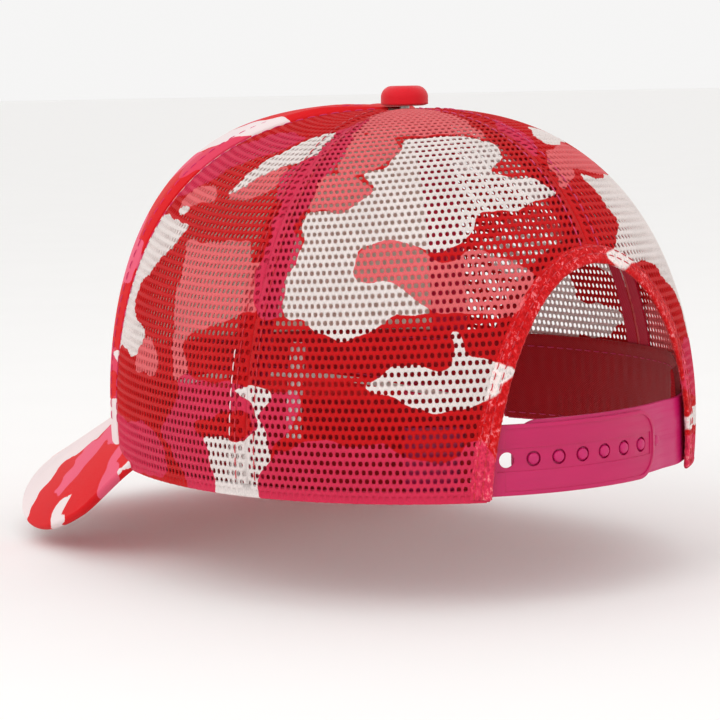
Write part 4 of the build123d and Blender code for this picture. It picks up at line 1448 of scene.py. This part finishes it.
# Outlines in plan, in millimetres: the wearer's left as photographed, the rest carried on from it.
VISOR_PATCHES = [
    (WHITE, [(76.5, -107), (75, -105.5), (73, -107), (71, -107), (68.5, -109), (66.5, -106), (64, -106),
             (61.5, -108), (59.5, -105.5), (59.5, -102), (61, -99.5), (61, -97), (60, -93.5), (59, -88.5),
             (57.5, -87.5), (55, -86), (52, -86), (42, -90), (32, -100), (28, -114), (34, -128),
             (40, -140), (46, -153), (66, -146), (83, -120), (83, -108)]),
    (CORAL, [(58, -79), (55, -85.5), (59, -85.5), (59.5, -88), (60.5, -93.5), (63, -92), (64, -93.5),
             (67.5, -90.5), (68.5, -93.5), (71.5, -91), (72.5, -93), (74.5, -89), (74, -86), (73, -84.5),
             (72, -80.5), (70.5, -79), (69, -78.5), (68, -75.5), (66, -75), (65, -74.5), (68, -65),
             (66, -58), (62, -62), (60, -70)]),
    (WHITE, [(76, -78), (76, -80.5), (76, -84.5), (77, -86), (78.5, -85.5), (80.5, -83), (84, -81),
             (84, -73), (81.5, -75), (79.5, -78), (79, -78), (78, -77.5), (77, -76.5)]),
    (CORAL, [(70, -54), (73, -58), (76.5, -57.5), (78, -58), (80.5, -57), (84, -54), (84, -44), (81.5, -44),
             (79.5, -46.5), (77.5, -47.5), (76, -52), (74, -50)]),
    (WHITE, [(77.5, -47.5), (79.5, -46.5), (81.5, -44.5), (84, -43), (84, -36), (79, -36), (77, -42)]),
    (WHITE, [(-10, -110), (6, -118), (14, -132), (2, -142), (-16, -136), (-26, -122)]),
    (CORAL, [(-34, -108), (-22, -114), (-24, -128), (-42, -136), (-54, -126), (-48, -112)]),
    (WHITE, [(-62, -84), (-50, -92), (-54, -106), (-70, -112), (-84, -100), (-84, -86)]),
    (ROSE, [(-66, -52), (-56, -62), (-60, -74), (-76, -76), (-86, -64), (-84, -46), (-76, -40)]),
]


def visor_paint(obj):
    co = np.array([v.co for v in obj.data.vertices])
    rings = [(c, smooth_ring(np.array(p, float) / 1000)) for c, p in VISOR_PATCHES]
    fields = camo_fields(co[:, 0], co[:, 1], rings)
    for k, name in ((CORAL, "camo_coral"), (ROSE, "camo_rose"), (WHITE, "camo_white")):
        set_field(obj, name, fields[k] * 1000)
    set_field(obj, "flat_u", co[:, 0] * 1000)
    set_field(obj, "flat_v", co[:, 1] * 1000)


def visor_rim(t):
    """The visor's outline in plan for t from -1 to 1, corner to corner."""
    t = np.asarray(t, float)
    side = np.sign(t)
    a = np.abs(t)
    angle = np.minimum(a / 0.86, 1) * math.pi / 2
    power = 2 / VISOR_SQUARENESS
    x = VISOR_HALF_WIDTH * np.sin(angle) ** power
    y = VISOR_WIDEST_Y + (VISOR_TIP_Y - VISOR_WIDEST_Y) * np.clip(np.cos(angle), 0, 1) ** power
    late = np.clip((a - 0.86) / 0.14, 0, 1)
    ease = late * late * (3 - 2 * late)
    x = x + (corner_x - 0.0016 - VISOR_HALF_WIDTH) * ease
    y = np.where(late > 0, VISOR_WIDEST_Y + (VISOR_CORNER_Y - 0.001 - VISOR_WIDEST_Y) * late, y)
    return side * x, y


def visor_grid(drop, columns=240, rows=90, margin=0.0):
    """Points from the crown's wall to the visor's edge, at a drop below the top face."""
    t = np.linspace(-1, 1, columns)
    x1, y1 = visor_rim(t)
    scale = 1 - margin / 0.08
    inner_a, inner_b = HALF_WIDTH - VISOR_TUCKED, HALF_FRONT - VISOR_TUCKED
    corner_angle = math.acos(min(1, -(VISOR_CORNER_Y - 0.001) / inner_b))
    angle = corner_angle * t
    x0, y0 = inner_a * np.sin(angle), -inner_b * np.cos(angle)
    s = np.linspace(0, 1, rows)[:, None] * scale
    x = x0 * (1 - s) + x1 * s
    y = y0 * (1 - s) + y1 * s
    return visor_point(x, y, drop)


thickness = 2 * VISOR_CLOTH + VISOR_BOARD
top_cloth = slab("visor_top_cloth", visor_grid(0.0), visor_grid(VISOR_CLOTH))
visor_paint(top_cloth)
finish_piece(top_cloth, "visor", "camo_cloth", "visor_top_cover")
board = slab("visor_board_sheet", visor_grid(VISOR_CLOTH + 0.00002, margin=0.001),
             visor_grid(VISOR_CLOTH + VISOR_BOARD - 0.00002, margin=0.001))
finish_piece(board, "board", "board", "visor_board")
under_cloth = slab("visor_under_cloth", visor_grid(thickness - VISOR_CLOTH), visor_grid(thickness))
visor_paint(under_cloth)
finish_piece(under_cloth, "visor", "camo_cloth", "visor_under_cover")

t = np.linspace(-1, 1, 420)
rx, ry = visor_rim(t)
tangent = np.stack([np.gradient(rx), np.gradient(ry)], 1)
tangent /= np.linalg.norm(tangent, axis=1)[:, None]
out2 = np.stack([tangent[:, 1], -tangent[:, 0]], 1)
out2 *= np.sign(out2[:, 0] * rx + out2[:, 1] * (ry + 0.06))[:, None]
rings = []
for k in range(17):
    a = math.pi * (k / 16 - 0.5)
    bulge = 0.0011 * max(math.cos(a), 0) ** 0.8
    step = (out2[:, 0] * bulge, out2[:, 1] * bulge)
    rings.append(visor_point(rx, ry, thickness / 2 * (1 - math.sin(a)), step))
for depth in (0.00025, thickness - 0.00025):
    rings.append(visor_point(rx, ry, depth, (-out2[:, 0] * 0.0022, -out2[:, 1] * 0.0022)))
edge = swept("visor_edge_cloth", np.stack(rings, 1))
visor_paint(edge)
finish_piece(edge, "visor", "camo_cloth", "visor_edge_fold")

# ---------------------------------------------------------------- button

BUTTON_CUT, BUTTON_CLOTH = 0.023, 0.0005
low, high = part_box("button_cover")
radius, height = (high.x - low.x) / 2, high.z - low.z


def button_face(inset, rows=34, around=96):
    """The knit drawn over the shell, gathered where it turns under the rim."""
    a = 2 * math.pi * np.arange(around) / around
    rings = []
    for k in range(rows):
        t = k / (rows - 1)
        if t < 0.2:
            q = t / 0.2
            r, z = radius * (0.70 + 0.25 * q), low.z - 0.0004 + 0.0004 * q * q
            z += inset * (1 - q)
            r -= inset * q
        else:
            q = (t - 0.2) / 0.8 * math.pi / 2
            bend = 0.62 * height - inset
            wall = (height - inset - bend) * min(1, (t - 0.2) / 0.2)
            q = max(0, (t - 0.4) / 0.6) * math.pi / 2
            r, z = radius - inset - bend * (1 - math.cos(q)), low.z + wall + bend * math.sin(q)
            if t > 0.999:
                r = 0.0
            elif q > 1.45:
                r *= (math.pi / 2 - q) / (math.pi / 2 - 1.45)
        r = max(r, 0.00002)
        gather = 1 + 0.014 * np.sin(a * 16 + 0.7 * np.sin(a * 3)) * max(0, 1 - k / 11)
        soft = 1 + 0.003 * np.sin(a * 3 + k * 0.2)
        rr = np.minimum(r * gather * soft, radius)
        rings.append(np.stack([rr * np.sin(a), -rr * np.cos(a), np.full(around, z)], 1))
    return np.stack(rings, 0)


button = slab("button_cloth_cover", button_face(0.0), button_face(BUTTON_CLOTH), closed_u=True, sharp=None)
finish_piece(button, "button", "button_cloth", "button_cover")

# ---------------------------------------------------------------- CAD pieces that stay

for node, material in (("button_shell", "metal"), ("button_back", "metal")):
    data = NODES[node].data
    data.materials.clear()
    data.materials.append(MAT[material])

# ---------------------------------------------------------------- areas of the crown's cloth panels


CUT_COLUMNS, CUT_ROWS = 181, 241


def crown_between(low, high):
    """A grid of points on the crown between two seams, one column after another."""
    az = np.linspace(low, high, CUT_COLUMNS)
    f = np.linspace(0, 1, CUT_ROWS)
    return crown(az[:, None], f[None, :])


def cut_area(low, high, low_z=0.0, arch=False):
    """Area of a crown panel's cloth before sewing, between two seams and above a height."""
    grid = crown_between(low, high)
    across, up = grid[1:, :-1] - grid[:-1, :-1], grid[:-1, 1:] - grid[:-1, :-1]
    area = np.linalg.norm(np.cross(across, up), axis=-1)
    keep = grid[:-1, :-1, 2] >= low_z
    if arch:
        keep &= ~((ellipse_rho(grid[:-1, :-1]) < 1) & (grid[:-1, :-1, 1] > 0))
    return float(area[keep].sum())


for panel, node, arch in PANELS:
    chart = CHARTS[panel]
    area = cut_area(chart.low, chart.high, arch=arch)
    wide = float(np.diff(np.interp([chart.low, chart.high], chart.azimuths, chart.row(0.0)))[0])
front_area = cut_area(-FRONT_SEAM, FRONT_SEAM, VISOR_RISE)

# ---------------------------------------------------------------- stage, light and camera

AIM_HEIGHT, AIM_SIDE, DISTANCE = 0.02978, -0.01519, 0.751
FLOOR_SIZE, FLOOR_GAP, WORLD_LIGHT, SENSOR_WIDTH = 60, 0.0005, 0.92, 36
AZIMUTH, ELEVATION, ROLL, LENS = 140.43, 6.72, -1.07, 120.3

floor_z = CAD_BOUNDS[0][2] - FLOOR_GAP
bm = bmesh.new()
bmesh.ops.create_grid(bm, x_segments=2, y_segments=2, size=FLOOR_SIZE)
mesh = bpy.data.meshes.new("floor")
bm.to_mesh(mesh)
bm.free()
floor = bpy.data.objects.new("floor", mesh)
floor.location.z = floor_z
bpy.context.scene.collection.objects.link(floor)
n = Nodes("floor_paper")
paper = n.remap(n.noise(14, 2), 0.3, 0.7, 0.995, 1.005)
n.set(color=n.shade(linear(250, 249, 248), paper), roughness=0.9, specular=0.1)
mesh.materials.append(n.material)

world = bpy.data.worlds.new("studio")
world.use_nodes = True
world.node_tree.nodes["Background"].inputs[0].default_value = (1.0, 0.995, 0.99, 1)
world.node_tree.nodes["Background"].inputs[1].default_value = WORLD_LIGHT
bpy.context.scene.world = world
bpy.context.scene.view_settings.view_transform = "Standard"


def camera_axes(azimuth, elevation, roll):
    a, e, r = math.radians(azimuth), math.radians(elevation), math.radians(roll)
    back = Vector((math.sin(a) * math.cos(e), -math.cos(a) * math.cos(e), math.sin(e)))
    right0 = Vector((math.cos(a), math.sin(a), 0))
    up0 = back.cross(right0)
    return back, right0 * math.cos(r) + up0 * math.sin(r), up0 * math.cos(r) - right0 * math.sin(r)


back, right, up = camera_axes(AZIMUTH, ELEVATION, ROLL)
target = Vector((0, 0, AIM_HEIGHT)) + right * AIM_SIDE
data = bpy.data.cameras.new("camera")
data.lens, data.sensor_width = LENS, SENSOR_WIDTH
data.clip_start, data.clip_end = 0.05, 20
camera = bpy.data.objects.new("camera", data)
facing = Matrix((right, up, back)).transposed().to_4x4()
camera.matrix_world = Matrix.Translation(target + back * DISTANCE) @ facing
bpy.context.scene.collection.objects.link(camera)
bpy.context.scene.camera = camera


def area_light(name, azimuth, elevation, distance, size, power):
    back, right, up = camera_axes(azimuth, elevation, 0)
    light = bpy.data.lights.new(name, "AREA")
    light.shape, light.size, light.energy = "DISK", size, power
    obj = bpy.data.objects.new(name, light)
    place = Vector((0, -0.02, 0.05)) + back * distance
    obj.matrix_world = Matrix.Translation(place) @ Matrix((right, up, back)).transposed().to_4x4()
    bpy.context.scene.collection.objects.link(obj)


area_light("key", AZIMUTH - 35, 40, 1.3, 0.9, 3.2)
area_light("fill", AZIMUTH + 45, 25, 1.4, 1.0, 0.8)
area_light("top", AZIMUTH, 80, 1.3, 1.2, 0.6)
